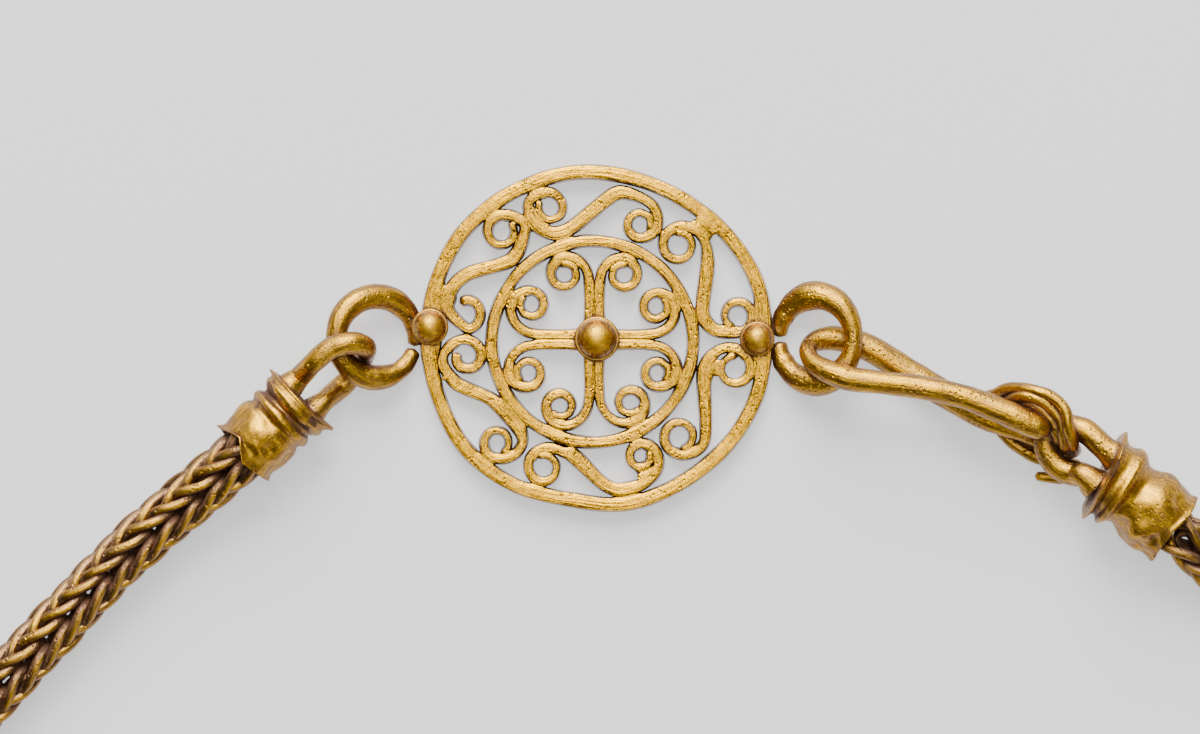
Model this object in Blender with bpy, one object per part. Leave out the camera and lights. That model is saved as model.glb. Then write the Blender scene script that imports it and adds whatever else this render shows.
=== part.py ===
"""Ancient gold necklace, lying loose: an openwork medallion of bent strip, two rings,
a hook clasp, two ribbed end caps and a double loop-in-loop chain.

The necklace lies on the XY plane with its chain towards -Y. Lengths are in metres.
A list of places seen from above is in parts of one named length, which is given beside it.
"""
import math

import bmesh
import bpy
import numpy as np
from mathutils import Matrix, Vector

# Medallion: upright gold strips that stand on their edges between two hoops
MEDALLION_RADIUS = 0.0126
STRIP_HEIGHT = 0.0014
OUTER_HOOP_WIDTH = 0.00098
INNER_HOOP_RADIUS = 0.00766
INNER_HOOP_WIDTH = 0.00082
INNER_HOOP_SHIFT_X = -0.00032
INNER_HOOP_SHIFT_Y = -0.0002
SCROLL_WIDTH = 0.0009
EYE_WIDTH = 0.00064
CROSS_WIDTH = 0.00062
CROSS_SPACING = 0.0009
CROSS_BEND_RADIUS = 0.0006
CENTRE_SHIFT_X = -0.00018
CENTRE_SHIFT_Y = -0.00006
SOLDER_GAP = 0.0001
STRIP_STEP = 0.0006
LEAST_TURN = 9.0
EYE_STEP = 32.0
ZONE_EYES = 12
ZONE_ARC_SHARE = 0.7
ZONE_EYE_POWER = 3.0
CROSS_EYE_POWER = 2.5
OUTER_HOOP_COUNT = 48
INNER_HOOP_COUNT = 36

# Gold grains with a low collar, seated on the strips
CENTRE_BEAD_RADIUS = 0.00126
CENTRE_COLLAR_RADIUS = 0.00162
LEFT_BEAD_RADIUS = 0.00112
LEFT_COLLAR_RADIUS = 0.00133
RIGHT_BEAD_RADIUS = 0.00108
RIGHT_COLLAR_RADIUS = 0.00126
LEFT_BEAD_RISE = 0.00086
LEFT_BEAD_INSET = 0.00059
RIGHT_BEAD_INSET = 0.00108
BEAD_COLLAR_SHARE = 0.14
BEAD_MIDDLE_SHARE = 0.42
BEAD_LOW_ANGLE = 14.0
BEAD_ARC_STEPS = 5
BEAD_SEGMENTS = 12

# Rings of thick round wire, drawn out thin where their ends meet the medallion
LEFT_RING_HALF_WIDTH = 0.00283
LEFT_RING_HALF_HEIGHT = 0.00292
LEFT_RING_THICK_RADIUS = 0.00094
LEFT_RING_SIDE_RADIUS = 0.00074
RIGHT_RING_HALF_WIDTH = 0.00268
RIGHT_RING_HALF_HEIGHT = 0.00312
RIGHT_RING_THICK_RADIUS = 0.00103
RIGHT_RING_SIDE_RADIUS = 0.00066
RING_TIP_RADIUS = 0.00026
RING_TAPER_ANGLE = 62.0
RING_SWEEP = 347.0
RING_SWELL_POWER = 1.4
RING_COUNT = 22
RING_NEAR_HEIGHT = 0.54 * STRIP_HEIGHT
LEFT_RING_RISE = 0.00012
LEFT_CROSSING_SHARE = 0.77
LINK_GAP = 0.0001

# Clasp hook and its wound tail
HOOK_LENGTH = 0.02038
HOOK_PART = HOOK_LENGTH / 20.38
HOOK_FRONT_RADIUS = 0.00085
HOOK_BACK_RADIUS = 0.001
HOOK_STEP = 0.00097
TAIL_RADIUS = 0.00037

# End caps of sheet gold, with their wire loops
CAP_WALL = 0.0003
CAP_SEGMENTS = 15
LEFT_CAP_LENGTH = 0.0058
LEFT_CAP_RADIUS = 0.00268
RIGHT_CAP_LENGTH = 0.0064
RIGHT_CAP_RADIUS = 0.003
CAP_BELLY_SHARE = 0.45
CAP_HOLLOW_SHARE = 0.4
LEFT_LOOP_LENGTH = 0.0051
LEFT_LOOP_PART = LEFT_LOOP_LENGTH / 5.1
LEFT_LOOP_RADIUS = 0.00074
RIGHT_LOOP_RADIUS = 0.0008
LOOP_ROOT_LENGTH = 1.3
REST_GAP = 0.00002

# Chain
CHAIN_HALF_WIDTH = 0.00193
CHAIN_PITCH = 0.0022
CHAIN_SEAT = 0.0018
CHAIN_ROLL = -10.0
CHAIN_CREST_RADIUS = CHAIN_HALF_WIDTH / math.cos(math.radians(CHAIN_ROLL))
CHAIN_GROOVE_RADIUS = 0.86 * CHAIN_CREST_RADIUS
CHAIN_VALLEY_RADIUS = 0.9 * CHAIN_CREST_RADIUS
CHAIN_APEX_LEAD = 0.25 * CHAIN_PITCH
CHAIN_FALL_LENGTH = 0.051
CHAIN_PART = CHAIN_FALL_LENGTH / 51.0
CHAIN_DROP = 0.05
WIRE_BEVEL_RESOLUTION = 2
WIRE_STEP = 0.0009

GOLD = (0.83, 0.58, 0.17, 1.0)
WORN_GOLD = (0.74, 0.5, 0.16, 1.0)

# How far the hand-bent outer hoop leaves a true circle, every 20 degrees from +X, in hundredths
# of its radius
HOOP_WAVER = (0.0, 0.7, -1.1, -2.5, -1.7, 0.0, 0.6, 1.8, 1.1,
              0.6, 0.3, 1.5, -0.3, -3.2, -0.6, -1.0, -0.3, 0.6)


def gold_material(name, colour, roughness):
    """A plain gold Principled material."""
    material = bpy.data.materials.new(name)
    material.use_nodes = True
    shader = material.node_tree.nodes["Principled BSDF"]
    shader.inputs["Base Color"].default_value = colour
    shader.inputs["Metallic"].default_value = 1.0
    shader.inputs["Roughness"].default_value = roughness
    return material


def add_object(name, bm, colour, roughness, smooth=False):
    """Turn a bmesh into a named object under the necklace's empty."""
    bmesh.ops.recalc_face_normals(bm, faces=bm.faces[:])
    mesh = bpy.data.meshes.new(name)
    bm.to_mesh(mesh)
    bm.free()
    if smooth:
        mesh.shade_smooth()
        mesh.set_sharp_from_angle(angle=math.radians(50))
    obj = bpy.data.objects.new(name, mesh)
    obj.data.materials.append(gold_material(name + "_gold", colour, roughness))
    obj.parent = necklace
    bpy.context.collection.objects.link(obj)
    return obj


# Smooth routes

def smooth_route(points, step, closed=False):
    """Even points along a centripetal Catmull-Rom curve through points of any dimension."""
    stations = [np.array(point, dtype=float) for point in points]
    if closed:
        stations = [stations[-1]] + stations + stations[:2]
    else:
        before = 2 * stations[0] - stations[1]
        after = 2 * stations[-1] - stations[-2]
        stations = [before] + stations + [after]
    dense = []
    samples = 12
    for first, start, end, last in zip(stations, stations[1:], stations[2:], stations[3:]):
        knots = [0.0]
        for a, b in ((first, start), (start, end), (end, last)):
            knots.append(knots[-1] + max(np.linalg.norm(b - a), 1e-9) ** 0.5)
        for sample in range(samples):
            t = knots[1] + (knots[2] - knots[1]) * sample / samples
            low = first + (start - first) * (t - knots[0]) / (knots[1] - knots[0])
            mid = start + (end - start) * (t - knots[1]) / (knots[2] - knots[1])
            high = end + (last - end) * (t - knots[2]) / (knots[3] - knots[2])
            low = low + (mid - low) * (t - knots[0]) / (knots[2] - knots[0])
            high = mid + (high - mid) * (t - knots[1]) / (knots[3] - knots[1])
            dense.append(low + (high - low) * (t - knots[1]) / (knots[2] - knots[1]))
    dense.append(stations[-2])
    dense = np.array(dense)
    lengths = np.linalg.norm(np.diff(dense, axis=0), axis=1)
    along = np.concatenate(([0.0], np.cumsum(lengths)))
    count = max(4, round(along[-1] / step))
    wanted = np.linspace(0.0, along[-1], count + 1)
    route = np.stack([np.interp(wanted, along, column) for column in dense.T], axis=1)
    return route[:-1] if closed else route


def thinned(route, least_turn):
    """Leave out places where a route runs nearly straight."""
    kept = [route[0]]
    for place, after in zip(route[1:], route[2:]):
        before = place - kept[-1]
        ahead = after - place
        cosine = before @ ahead / (np.linalg.norm(before) * np.linalg.norm(ahead))
        if cosine < math.cos(math.radians(least_turn)):
            kept.append(place)
    return np.array(kept + [route[-1]])


def polar(radius, degrees):
    """A place in the plane at a radius and an angle from +X."""
    angle = math.radians(degrees)
    return np.array((radius * math.cos(angle), radius * math.sin(angle)))


# Strips of the medallion

def strip_object(name, route, colour, roughness, closed=False):
    """Stand a strip on the plane along a route of (x, y, half width)."""
    centre = route[:, :2]
    if closed:
        direction = np.roll(centre, -1, axis=0) - np.roll(centre, 1, axis=0)
    else:
        direction = np.gradient(centre, axis=0)
    direction /= np.linalg.norm(direction, axis=1)[:, None]
    side = np.stack((-direction[:, 1], direction[:, 0]), axis=1) * route[:, 2:3]
    bm = bmesh.new()
    left = [bm.verts.new((x, y, 0.0)) for x, y in centre + side]
    right = [bm.verts.new((x, y, 0.0)) for x, y in centre - side]
    count = len(left)
    for index in range(count if closed else count - 1):
        after = (index + 1) % count
        bm.faces.new((left[index], right[index], right[after], left[after]))
    raised = bmesh.ops.extrude_face_region(bm, geom=bm.faces[:])
    top = [item for item in raised["geom"] if isinstance(item, bmesh.types.BMVert)]
    bmesh.ops.translate(bm, verts=top, vec=(0.0, 0.0, STRIP_HEIGHT))
    return add_object(name, bm, colour, roughness)


def hoop_waver(degrees):
    """The outer hoop's departure from a circle, smooth between its named values."""
    count = len(HOOP_WAVER)
    place = (degrees % 360.0) / 360.0 * count
    index = int(place)
    t = place - index
    a, b, c, d = (HOOP_WAVER[(index + offset) % count] for offset in (-1, 0, 1, 2))
    waver = 0.5 * (2 * b + (c - a) * t + (2 * a - 5 * b + 4 * c - d) * t * t
                   + (3 * b - a - 3 * c + d) * t ** 3)
    return waver / 100.0 * MEDALLION_RADIUS


def outer_hoop_face(degrees):
    """Distance from the medallion's centre to the inner face of the outer hoop."""
    return MEDALLION_RADIUS - OUTER_HOOP_WIDTH + hoop_waver(degrees)


def inner_hoop_face(degrees):
    """Distance from the medallion's centre to the outer face of the inner hoop."""
    shift = np.array((INNER_HOOP_SHIFT_X, INNER_HOOP_SHIFT_Y))
    along = float(shift @ polar(1.0, degrees))
    return along + math.sqrt(INNER_HOOP_RADIUS ** 2 - float(shift @ shift) + along ** 2)


def outer_hoop():
    """The outer hoop, a hand-bent strip closed in a ring."""
    points = []
    for index in range(OUTER_HOOP_COUNT):
        degrees = 360.0 * index / OUTER_HOOP_COUNT
        radius = outer_hoop_face(degrees) + OUTER_HOOP_WIDTH / 2
        points.append((*polar(radius, degrees), OUTER_HOOP_WIDTH / 2))
    strip_object("medallion_outer_hoop", np.array(points), GOLD, 0.34, closed=True)


def inner_hoop():
    """The inner hoop, set a little off the centre."""
    radius = INNER_HOOP_RADIUS - INNER_HOOP_WIDTH / 2
    points = []
    for index in range(INNER_HOOP_COUNT):
        x, y = polar(radius, 360.0 * index / INNER_HOOP_COUNT)
        points.append((x + INNER_HOOP_SHIFT_X, y + INNER_HOOP_SHIFT_Y, INNER_HOOP_WIDTH / 2))
    strip_object("medallion_inner_hoop", np.array(points), GOLD, 0.34, closed=True)


def eye_spiral(hole, opening, start, sweep, width, power):
    """Places round an eye, from its inner end outwards, about the eye's own centre."""
    count = max(6, round(abs(sweep) / EYE_STEP))
    places = []
    for index in range(count + 1):
        turned = sweep * index / count
        radius = hole + width / 2 + opening * abs(turned / sweep) ** power
        places.append(polar(radius, start + turned))
    return np.array(places)


def zone_place(degrees, share, reach_in, reach_out):
    """A place between the hoops: share 0 touches the inner hoop and 1 the outer hoop."""
    inner = inner_hoop_face(degrees) + SOLDER_GAP + reach_in
    outer = outer_hoop_face(degrees) - SOLDER_GAP - reach_out
    return polar(inner + (outer - inner) * share, degrees)


def eye_room():
    """The room that an eye's strip leaves inside it, by the zone's depth or its arc for each eye."""
    rim = 2 * (EYE_WIDTH + SOLDER_GAP)
    outer = MEDALLION_RADIUS - OUTER_HOOP_WIDTH
    depth = outer - INNER_HOOP_RADIUS - rim
    arc = math.pi * (outer + INNER_HOOP_RADIUS) / ZONE_EYES - rim
    return min(depth, ZONE_ARC_SHARE * arc)


def seated_eye(eye):
    """An eye between the hoops as rows of (x, y, half width), from its inner end outwards."""
    degrees, share, hole, opening, start, sweep = eye
    room = eye_room()
    spiral = eye_spiral(hole * room, opening * room, start, sweep, EYE_WIDTH, ZONE_EYE_POWER)
    outward = polar(1.0, degrees)
    reach_out = float(np.max(spiral @ outward)) + EYE_WIDTH / 2
    reach_in = float(np.max(-(spiral @ outward))) + EYE_WIDTH / 2
    centre = zone_place(degrees, share, reach_in, reach_out)
    widths = np.full((len(spiral), 1), EYE_WIDTH / 2)
    return np.hstack((spiral + centre, widths))


def scroll(name, first_eye, bar, second_eye):
    """A strip scrolled into an eye at each end, seated between the hoops."""
    places = list(seated_eye(first_eye))
    for degrees, share in bar:
        place = zone_place(degrees, share, SCROLL_WIDTH / 2, SCROLL_WIDTH / 2)
        places.append((*place, SCROLL_WIDTH / 2))
    places += list(seated_eye(second_eye))[::-1]
    strip_object(name, thinned(smooth_route(places, STRIP_STEP), LEAST_TURN), GOLD, 0.36)


# Each scroll of the outer zone. An eye is its angle on the medallion, its share of the way between
# the hoops, its hole's radius and its opening as shares of an eye's room, and the angle where its
# inner end starts and how far it turns. The bar between two eyes is a row of (angle, share).
OUTER_SCROLLS = {
    "scroll_upper_left": (
        (131.9, 1.0, 0.242, 0.343, -72.0, -273.0),
        ((136.5, 0.03), (145.7, 0.33), (152.2, 0.65), (157.8, 0.88), (163.0, 0.96), (168.5, 0.93)),
        (168.2, 0.16, 0.21, 0.16, 130.0, -210.0)),
    "scroll_top": (
        (109.4, 1.0, 0.202, 0.343, 275.0, 250.0),
        ((118.0, 0.45), (113.5, 0.06), (106.5, 0.0), (98.3, 0.17), (88.7, 0.55), (81.5, 0.92)),
        (69.7, 0.24, 0.202, 0.403, 48.0, 392.0)),
    "scroll_upper_right": (
        (48.8, 0.3, 0.262, 0.383, 0.0, -350.0),
        ((35.5, 0.62), (29.0, 0.3), (20.2, 0.08), (11.5, 0.0), (4.5, 0.2)),
        (9.7, 1.0, 0.25, 0.121, 180.0, -255.0)),
    "scroll_lower_right": (
        (347.5, 1.0, 0.266, 0.444, 195.0, 320.0),
        ((342.9, 0.03), (334.9, 0.2), (325.0, 0.5)),
        (310.4, 0.3, 0.266, 0.343, 28.0, 318.0)),
    "scroll_bottom": (
        (247.6, 1.0, 0.25, 0.343, 0.0, -320.0),
        ((256.5, 0.0), (263.5, 0.3), (270.5, 0.72), (277.0, 0.98), (283.0, 1.0)),
        (290.2, 0.0, 0.169, 0.444, 300.0, -375.0)),
    "scroll_lower_left": (
        (187.9, 0.0, 0.202, 0.403, 155.0, 395.0),
        ((197.5, 0.8), (204.4, 0.3), (212.2, 0.02), (221.3, 0.0), (229.5, 0.0)),
        (225.8, 1.0, 0.214, 0.403, 60.0, 298.0)),
}

# Each strip of the cross, by its quadrant. An eye is its angle on the inner hoop, its hole's radius
# as a share of the hoop's inside, and the angle where its inner end starts and how far it turns.
# The first eye ends the upright arm and the second the level arm.
CROSS_SCROLLS = {
    "cross_scroll_upper_left": ((-1, 1), (112.5, 0.076, 32.0, -392.0), (149.1, 0.073, 230.0, 400.0)),
    "cross_scroll_upper_right": ((1, 1), (65.0, 0.076, 150.0, 390.0), (28.4, 0.076, -40.0, -410.0)),
    "cross_scroll_lower_left": ((-1, -1), (243.5, 0.073, -40.0, 400.0), (205.4, 0.076, 150.0, -420.0)),
    "cross_scroll_lower_right": ((1, -1), (301.6, 0.076, 215.0, -395.0), (334.8, 0.073, 30.0, 420.0)),
}
CROSS_CENTRE = np.array((CENTRE_SHIFT_X, CENTRE_SHIFT_Y))


def cross_eye(eye, upright):
    """An eye that touches the inner hoop and whose outer turn runs into its arm."""
    degrees, hole_share, start, sweep = eye
    outward = polar(1.0, degrees)
    inside = INNER_HOOP_RADIUS - INNER_HOOP_WIDTH - SOLDER_GAP
    hoop_centre = np.array((INNER_HOOP_SHIFT_X, INNER_HOOP_SHIFT_Y))
    hole = hole_share * inside
    reach = 2 * hole
    for _ in range(6):
        centre = hoop_centre + outward * (inside - reach)
        from_cross = abs(centre - CROSS_CENTRE)[0 if upright else 1]
        opening = from_cross - CROSS_SPACING / 2 - hole - CROSS_WIDTH / 2
        spiral = eye_spiral(hole, opening, start, sweep, CROSS_WIDTH, CROSS_EYE_POWER)
        reach = float(np.max(spiral @ outward)) + CROSS_WIDTH / 2
    return spiral + centre


def cross_scroll(name, quadrant, upright_eye, level_eye):
    """A strip with an eye at each end, bent square beside the medallion's centre."""
    across, up = quadrant
    arm = CROSS_SPACING / 2
    sides = np.array((across, up))
    upright = list(cross_eye(upright_eye, True))
    level = list(cross_eye(level_eye, False))
    bend = [CROSS_CENTRE + sides * (arm + CROSS_BEND_RADIUS - polar(CROSS_BEND_RADIUS, degrees))
            for degrees in (0.0, 30.0, 60.0, 90.0)]
    upright_arm = [upright[-1] * share + bend[0] * (1 - share) for share in (0.66, 0.33)]
    level_arm = [level[-1] * share + bend[-1] * (1 - share) for share in (0.33, 0.66)]
    places = upright + upright_arm + bend + level_arm + level[::-1]
    rows = [(*place, CROSS_WIDTH / 2) for place in places]
    strip_object(name, thinned(smooth_route(rows, STRIP_STEP), LEAST_TURN), GOLD, 0.36)


# Turned pieces

def spin_profile(profile, segments):
    """Spin a closed profile of (radius, height) about Z. Points at radius 0 meet on the axis."""
    bm = bmesh.new()
    verts = [bm.verts.new((radius, 0.0, height)) for radius, height in profile]
    edges = [bm.edges.new(pair) for pair in zip(verts, verts[1:])]
    bmesh.ops.spin(bm, geom=verts + edges, cent=(0, 0, 0), axis=(0, 0, 1),
                   angle=math.tau, steps=segments, use_merge=True)
    bmesh.ops.remove_doubles(bm, verts=bm.verts[:], dist=0.000002)
    return bm


def bead(name, x, y, ball, collar):
    """A gold grain with a low collar, cut flat where it sits on the strips."""
    base = STRIP_HEIGHT + SOLDER_GAP
    middle = base + BEAD_MIDDLE_SHARE * ball
    profile = [(0.0, base), (collar, base), (collar, base + BEAD_COLLAR_SHARE * ball)]
    for index in range(BEAD_ARC_STEPS):
        angle = math.radians(BEAD_LOW_ANGLE + (90.0 - BEAD_LOW_ANGLE) * index / BEAD_ARC_STEPS)
        profile.append((ball * math.cos(angle), middle + ball * math.sin(angle)))
    profile.append((0.0, middle + ball))
    bm = spin_profile(profile, BEAD_SEGMENTS)
    bmesh.ops.translate(bm, verts=bm.verts[:], vec=(x, y, 0.0))
    return add_object(name, bm, GOLD, 0.22, smooth=True)


# Wires

def wire_object(name, points, colour, roughness, step=WIRE_STEP):
    """A round wire of changing thickness along points of (x, y, z, radius), with filled ends."""
    route = smooth_route(points, step)
    route[:, 2] = np.maximum(route[:, 2], route[:, 3] + REST_GAP)
    route = thinned(route, LEAST_TURN)
    thickest = float(np.max(route[:, 3]))
    curve = bpy.data.curves.new(name, "CURVE")
    curve.dimensions = "3D"
    curve.bevel_depth = thickest
    curve.bevel_resolution = WIRE_BEVEL_RESOLUTION
    curve.use_fill_caps = True
    curve.resolution_u = 1
    spline = curve.splines.new("POLY")
    spline.points.add(len(route) - 1)
    for point, (x, y, z, radius) in zip(spline.points, route):
        point.co = (x, y, z, 1.0)
        point.radius = radius / thickest
    curve.materials.append(gold_material(name + "_gold", colour, roughness))
    obj = bpy.data.objects.new(name, curve)
    obj.parent = necklace
    bpy.context.collection.objects.link(obj)
    return obj


def ease(t):
    """A smooth step from 0 to 1."""
    t = min(max(t, 0.0), 1.0)
    return t * t * (3 - 2 * t)


def ring_points(centre, half_width, half_height, start, thick, side, lift, lifted_side):
    """A ring of wire, drawn out at its ends, that rises from the medallion to its far side."""
    points = []
    for index in range(RING_COUNT + 1):
        degrees = start + RING_SWEEP * index / RING_COUNT
        cosine = math.cos(math.radians(degrees))
        sine = math.sin(math.radians(degrees))
        full = side + (thick - side) * abs(sine) ** RING_SWELL_POWER
        from_end = min(index, RING_COUNT - index) / RING_COUNT * RING_SWEEP
        radius = RING_TIP_RADIUS + (full - RING_TIP_RADIUS) * ease(from_end / RING_TAPER_ANGLE)
        height = RING_NEAR_HEIGHT + lift * (1 + lifted_side * cosine) / 2
        points.append((centre[0] + half_width * cosine, centre[1] + half_height * sine, height, radius))
    return points


def placed(points, anchor, part):
    """Places about an anchor in parts of a length, with their heights and radii in metres."""
    return [(anchor[0] + x * part, anchor[1] + y * part, z, radius) for x, y, z, radius in points]


# Where the side pieces hang on each other, from the medallion outwards
RING_SEAT = MEDALLION_RADIUS + 2 * SOLDER_GAP + RING_TIP_RADIUS
LEFT_RING_CENTRE = (-RING_SEAT - LEFT_RING_HALF_WIDTH, LEFT_RING_RISE)
RIGHT_RING_CENTRE = (RING_SEAT + RIGHT_RING_HALF_WIDTH, 0.0)
LEFT_LINK = (LEFT_RING_CENTRE[0] - LEFT_RING_HALF_WIDTH, LEFT_RING_CENTRE[1])
RIGHT_LINK = (RIGHT_RING_CENTRE[0] + RIGHT_RING_HALF_WIDTH, RIGHT_RING_CENTRE[1])

# Heights of the wires where they pass over and under each other
LEFT_UNDER = LEFT_LOOP_RADIUS + REST_GAP
LEFT_RING_LIFT = (LEFT_UNDER + LEFT_LOOP_RADIUS + LINK_GAP + LEFT_RING_THICK_RADIUS
                  - RING_NEAR_HEIGHT) / LEFT_CROSSING_SHARE
LEFT_OVER = RING_NEAR_HEIGHT + LEFT_RING_LIFT + LEFT_RING_SIDE_RADIUS + LINK_GAP + LEFT_LOOP_RADIUS
RIGHT_UNDER = HOOK_BACK_RADIUS + REST_GAP
RIGHT_RING_LIFT = RIGHT_UNDER + HOOK_BACK_RADIUS + LINK_GAP + RIGHT_RING_SIDE_RADIUS - RING_NEAR_HEIGHT
RIGHT_OVER = RING_NEAR_HEIGHT + RIGHT_RING_LIFT + RIGHT_RING_SIDE_RADIUS + HOOK_FRONT_RADIUS + LINK_GAP


def rings():
    """The open left ring and the closed right ring beside the medallion."""
    left = ring_points(LEFT_RING_CENTRE, LEFT_RING_HALF_WIDTH, LEFT_RING_HALF_HEIGHT, -8.0,
                       LEFT_RING_THICK_RADIUS, LEFT_RING_SIDE_RADIUS, LEFT_RING_LIFT, -1.0)
    wire_object("left_ring", left, GOLD, 0.26)
    right = ring_points(RIGHT_RING_CENTRE, RIGHT_RING_HALF_WIDTH, RIGHT_RING_HALF_HEIGHT, 187.0,
                        RIGHT_RING_THICK_RADIUS, RIGHT_RING_SIDE_RADIUS, RIGHT_RING_LIFT, 1.0)
    wire_object("right_ring", right, GOLD, 0.26)


# Caps: a row of (share of the length, share of the widest radius) from the loop's end to the mouth
LEFT_CAP_PROFILE = ((0.0, 1.04), (0.03, 1.04), (0.06, 0.9), (0.13, 0.98), (0.2, 0.9), (0.25, 0.8),
                    (0.33, 0.92), (0.4, 0.82), (0.48, 0.92), (0.62, 1.0), (0.8, 1.0), (0.91, 0.92),
                    (1.0, 0.99))
RIGHT_CAP_PROFILE = ((0.0, 1.13), (0.03, 1.15), (0.08, 1.02), (0.15, 0.89), (0.23, 0.96), (0.3, 0.95),
                     (0.38, 0.87), (0.5, 0.95), (0.65, 1.0), (0.81, 0.95), (0.94, 0.87), (1.0, 0.9))


class Cap:
    """Where a cap lies: its plate's centre, its axis towards the mouth, and its profile."""

    def __init__(self, name, plate, degrees, length, radius, profile):
        self.name = name
        self.radius = radius
        self.length = length
        self.profile = [(share * length, width * radius) for share, width in profile]
        widest = max(width for _, width in self.profile)
        behind = self.profile[len(self.profile) // 3:]
        slope = min((widest - width) / along for along, width in behind)
        flat = Vector((math.cos(math.radians(degrees)), math.sin(math.radians(degrees)), -slope))
        self.axis = flat.normalized()
        self.plate = Vector((*plate, widest + REST_GAP))
        self.side = Vector((0, 0, 1)).cross(self.axis).normalized()
        self.up = self.axis.cross(self.side)

    def at(self, along, sideways=0.0, upwards=0.0):
        """A place on or beside the cap's axis."""
        return self.plate + self.axis * along + self.side * sideways + self.up * upwards

    def build(self):
        """The hollow cap, closed by its plate and open at its mouth."""
        outer = self.profile
        narrowest = min(width for _, width in outer) - CAP_WALL
        belly = [(along, width) for along, width in outer if along > CAP_BELLY_SHARE * self.length]
        profile = [(0.0, 0.0)]
        profile += [(width, along) for along, width in outer]
        profile += [(width - CAP_WALL, along) for along, width in belly[::-1]]
        profile += [(narrowest, CAP_HOLLOW_SHARE * self.length), (narrowest, CAP_WALL), (0.0, CAP_WALL)]
        bm = spin_profile(profile, CAP_SEGMENTS)
        turn = Matrix((self.side, self.up, self.axis)).transposed().to_4x4()
        turn.translation = self.plate
        bmesh.ops.transform(bm, matrix=turn, verts=bm.verts[:])
        return add_object(self.name, bm, WORN_GOLD, 0.3, smooth=True)


# Which way each cap's plate lies from the ring that carries it
LEFT_PLATE = np.array(LEFT_LINK) + polar(LEFT_LOOP_LENGTH, 240.4)
RIGHT_PLATE = np.array(RIGHT_LINK) + polar(HOOK_LENGTH, -28.36)
LEFT_CAP = Cap("left_cap", LEFT_PLATE, 223.0, LEFT_CAP_LENGTH, LEFT_CAP_RADIUS, LEFT_CAP_PROFILE)
RIGHT_CAP = Cap("right_cap", RIGHT_PLATE, -38.0, RIGHT_CAP_LENGTH, RIGHT_CAP_RADIUS, RIGHT_CAP_PROFILE)


def loop_roots(cap, sideways, upwards, radius):
    """Where a loop's end stands square on its cap's plate, in shares of the cap's radius."""
    rows = []
    for ahead in (SOLDER_GAP, LOOP_ROOT_LENGTH * radius):
        rows.append((*cap.at(-ahead, sideways * cap.radius, upwards * cap.radius), radius))
    return rows


def cap_loops():
    """The thick wire loops whose ends are soldered on the caps' plates."""
    r = LEFT_LOOP_RADIUS
    over = LEFT_OVER
    under = LEFT_UNDER
    middle = (over + under) / 2
    loop = [(-1.7, -1.9, over - 0.4 * r, r), (-0.3, -0.72, over, r), (0.9, -0.42, over, r),
            (1.7, -0.5, over - 0.55 * r, r), (2.12, -0.76, middle + 1.1 * r, 0.93 * r),
            (2.17, -0.95, middle, 0.9 * r), (2.1, -1.12, middle - 1.6 * r, 0.93 * r),
            (1.75, -1.7, under, r), (1.11, -2.75, under, r), (0.24, -3.6, under, r)]
    route = loop_roots(LEFT_CAP, -0.45, 0.19, r) + placed(loop, LEFT_LINK, LEFT_LOOP_PART)
    wire_object("left_cap_loop", route + loop_roots(LEFT_CAP, 0.45, -0.24, r)[::-1], GOLD, 0.28)

    r = RIGHT_LOOP_RADIUS
    high = RIGHT_CAP.plate.z
    tip = RIGHT_OVER - HOOK_FRONT_RADIUS - LINK_GAP - r
    loop = [(17.0, -6.85, high - 0.1 * r, r), (15.9, -6.35, (high * 2 + tip) / 3, r),
            (14.7, -6.3, (high + tip * 2) / 3, r), (13.85, -7.05, tip, r), (13.95, -8.2, tip, r),
            (14.75, -9.25, tip + 0.1 * r, r), (15.75, -9.65, (high + tip * 2) / 3, r)]
    route = loop_roots(RIGHT_CAP, 0.5, 0.03, r) + placed(loop, RIGHT_LINK, HOOK_PART)
    wire_object("right_cap_loop", route + loop_roots(RIGHT_CAP, -0.32, 0.0, r)[::-1], GOLD, 0.28)


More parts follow.
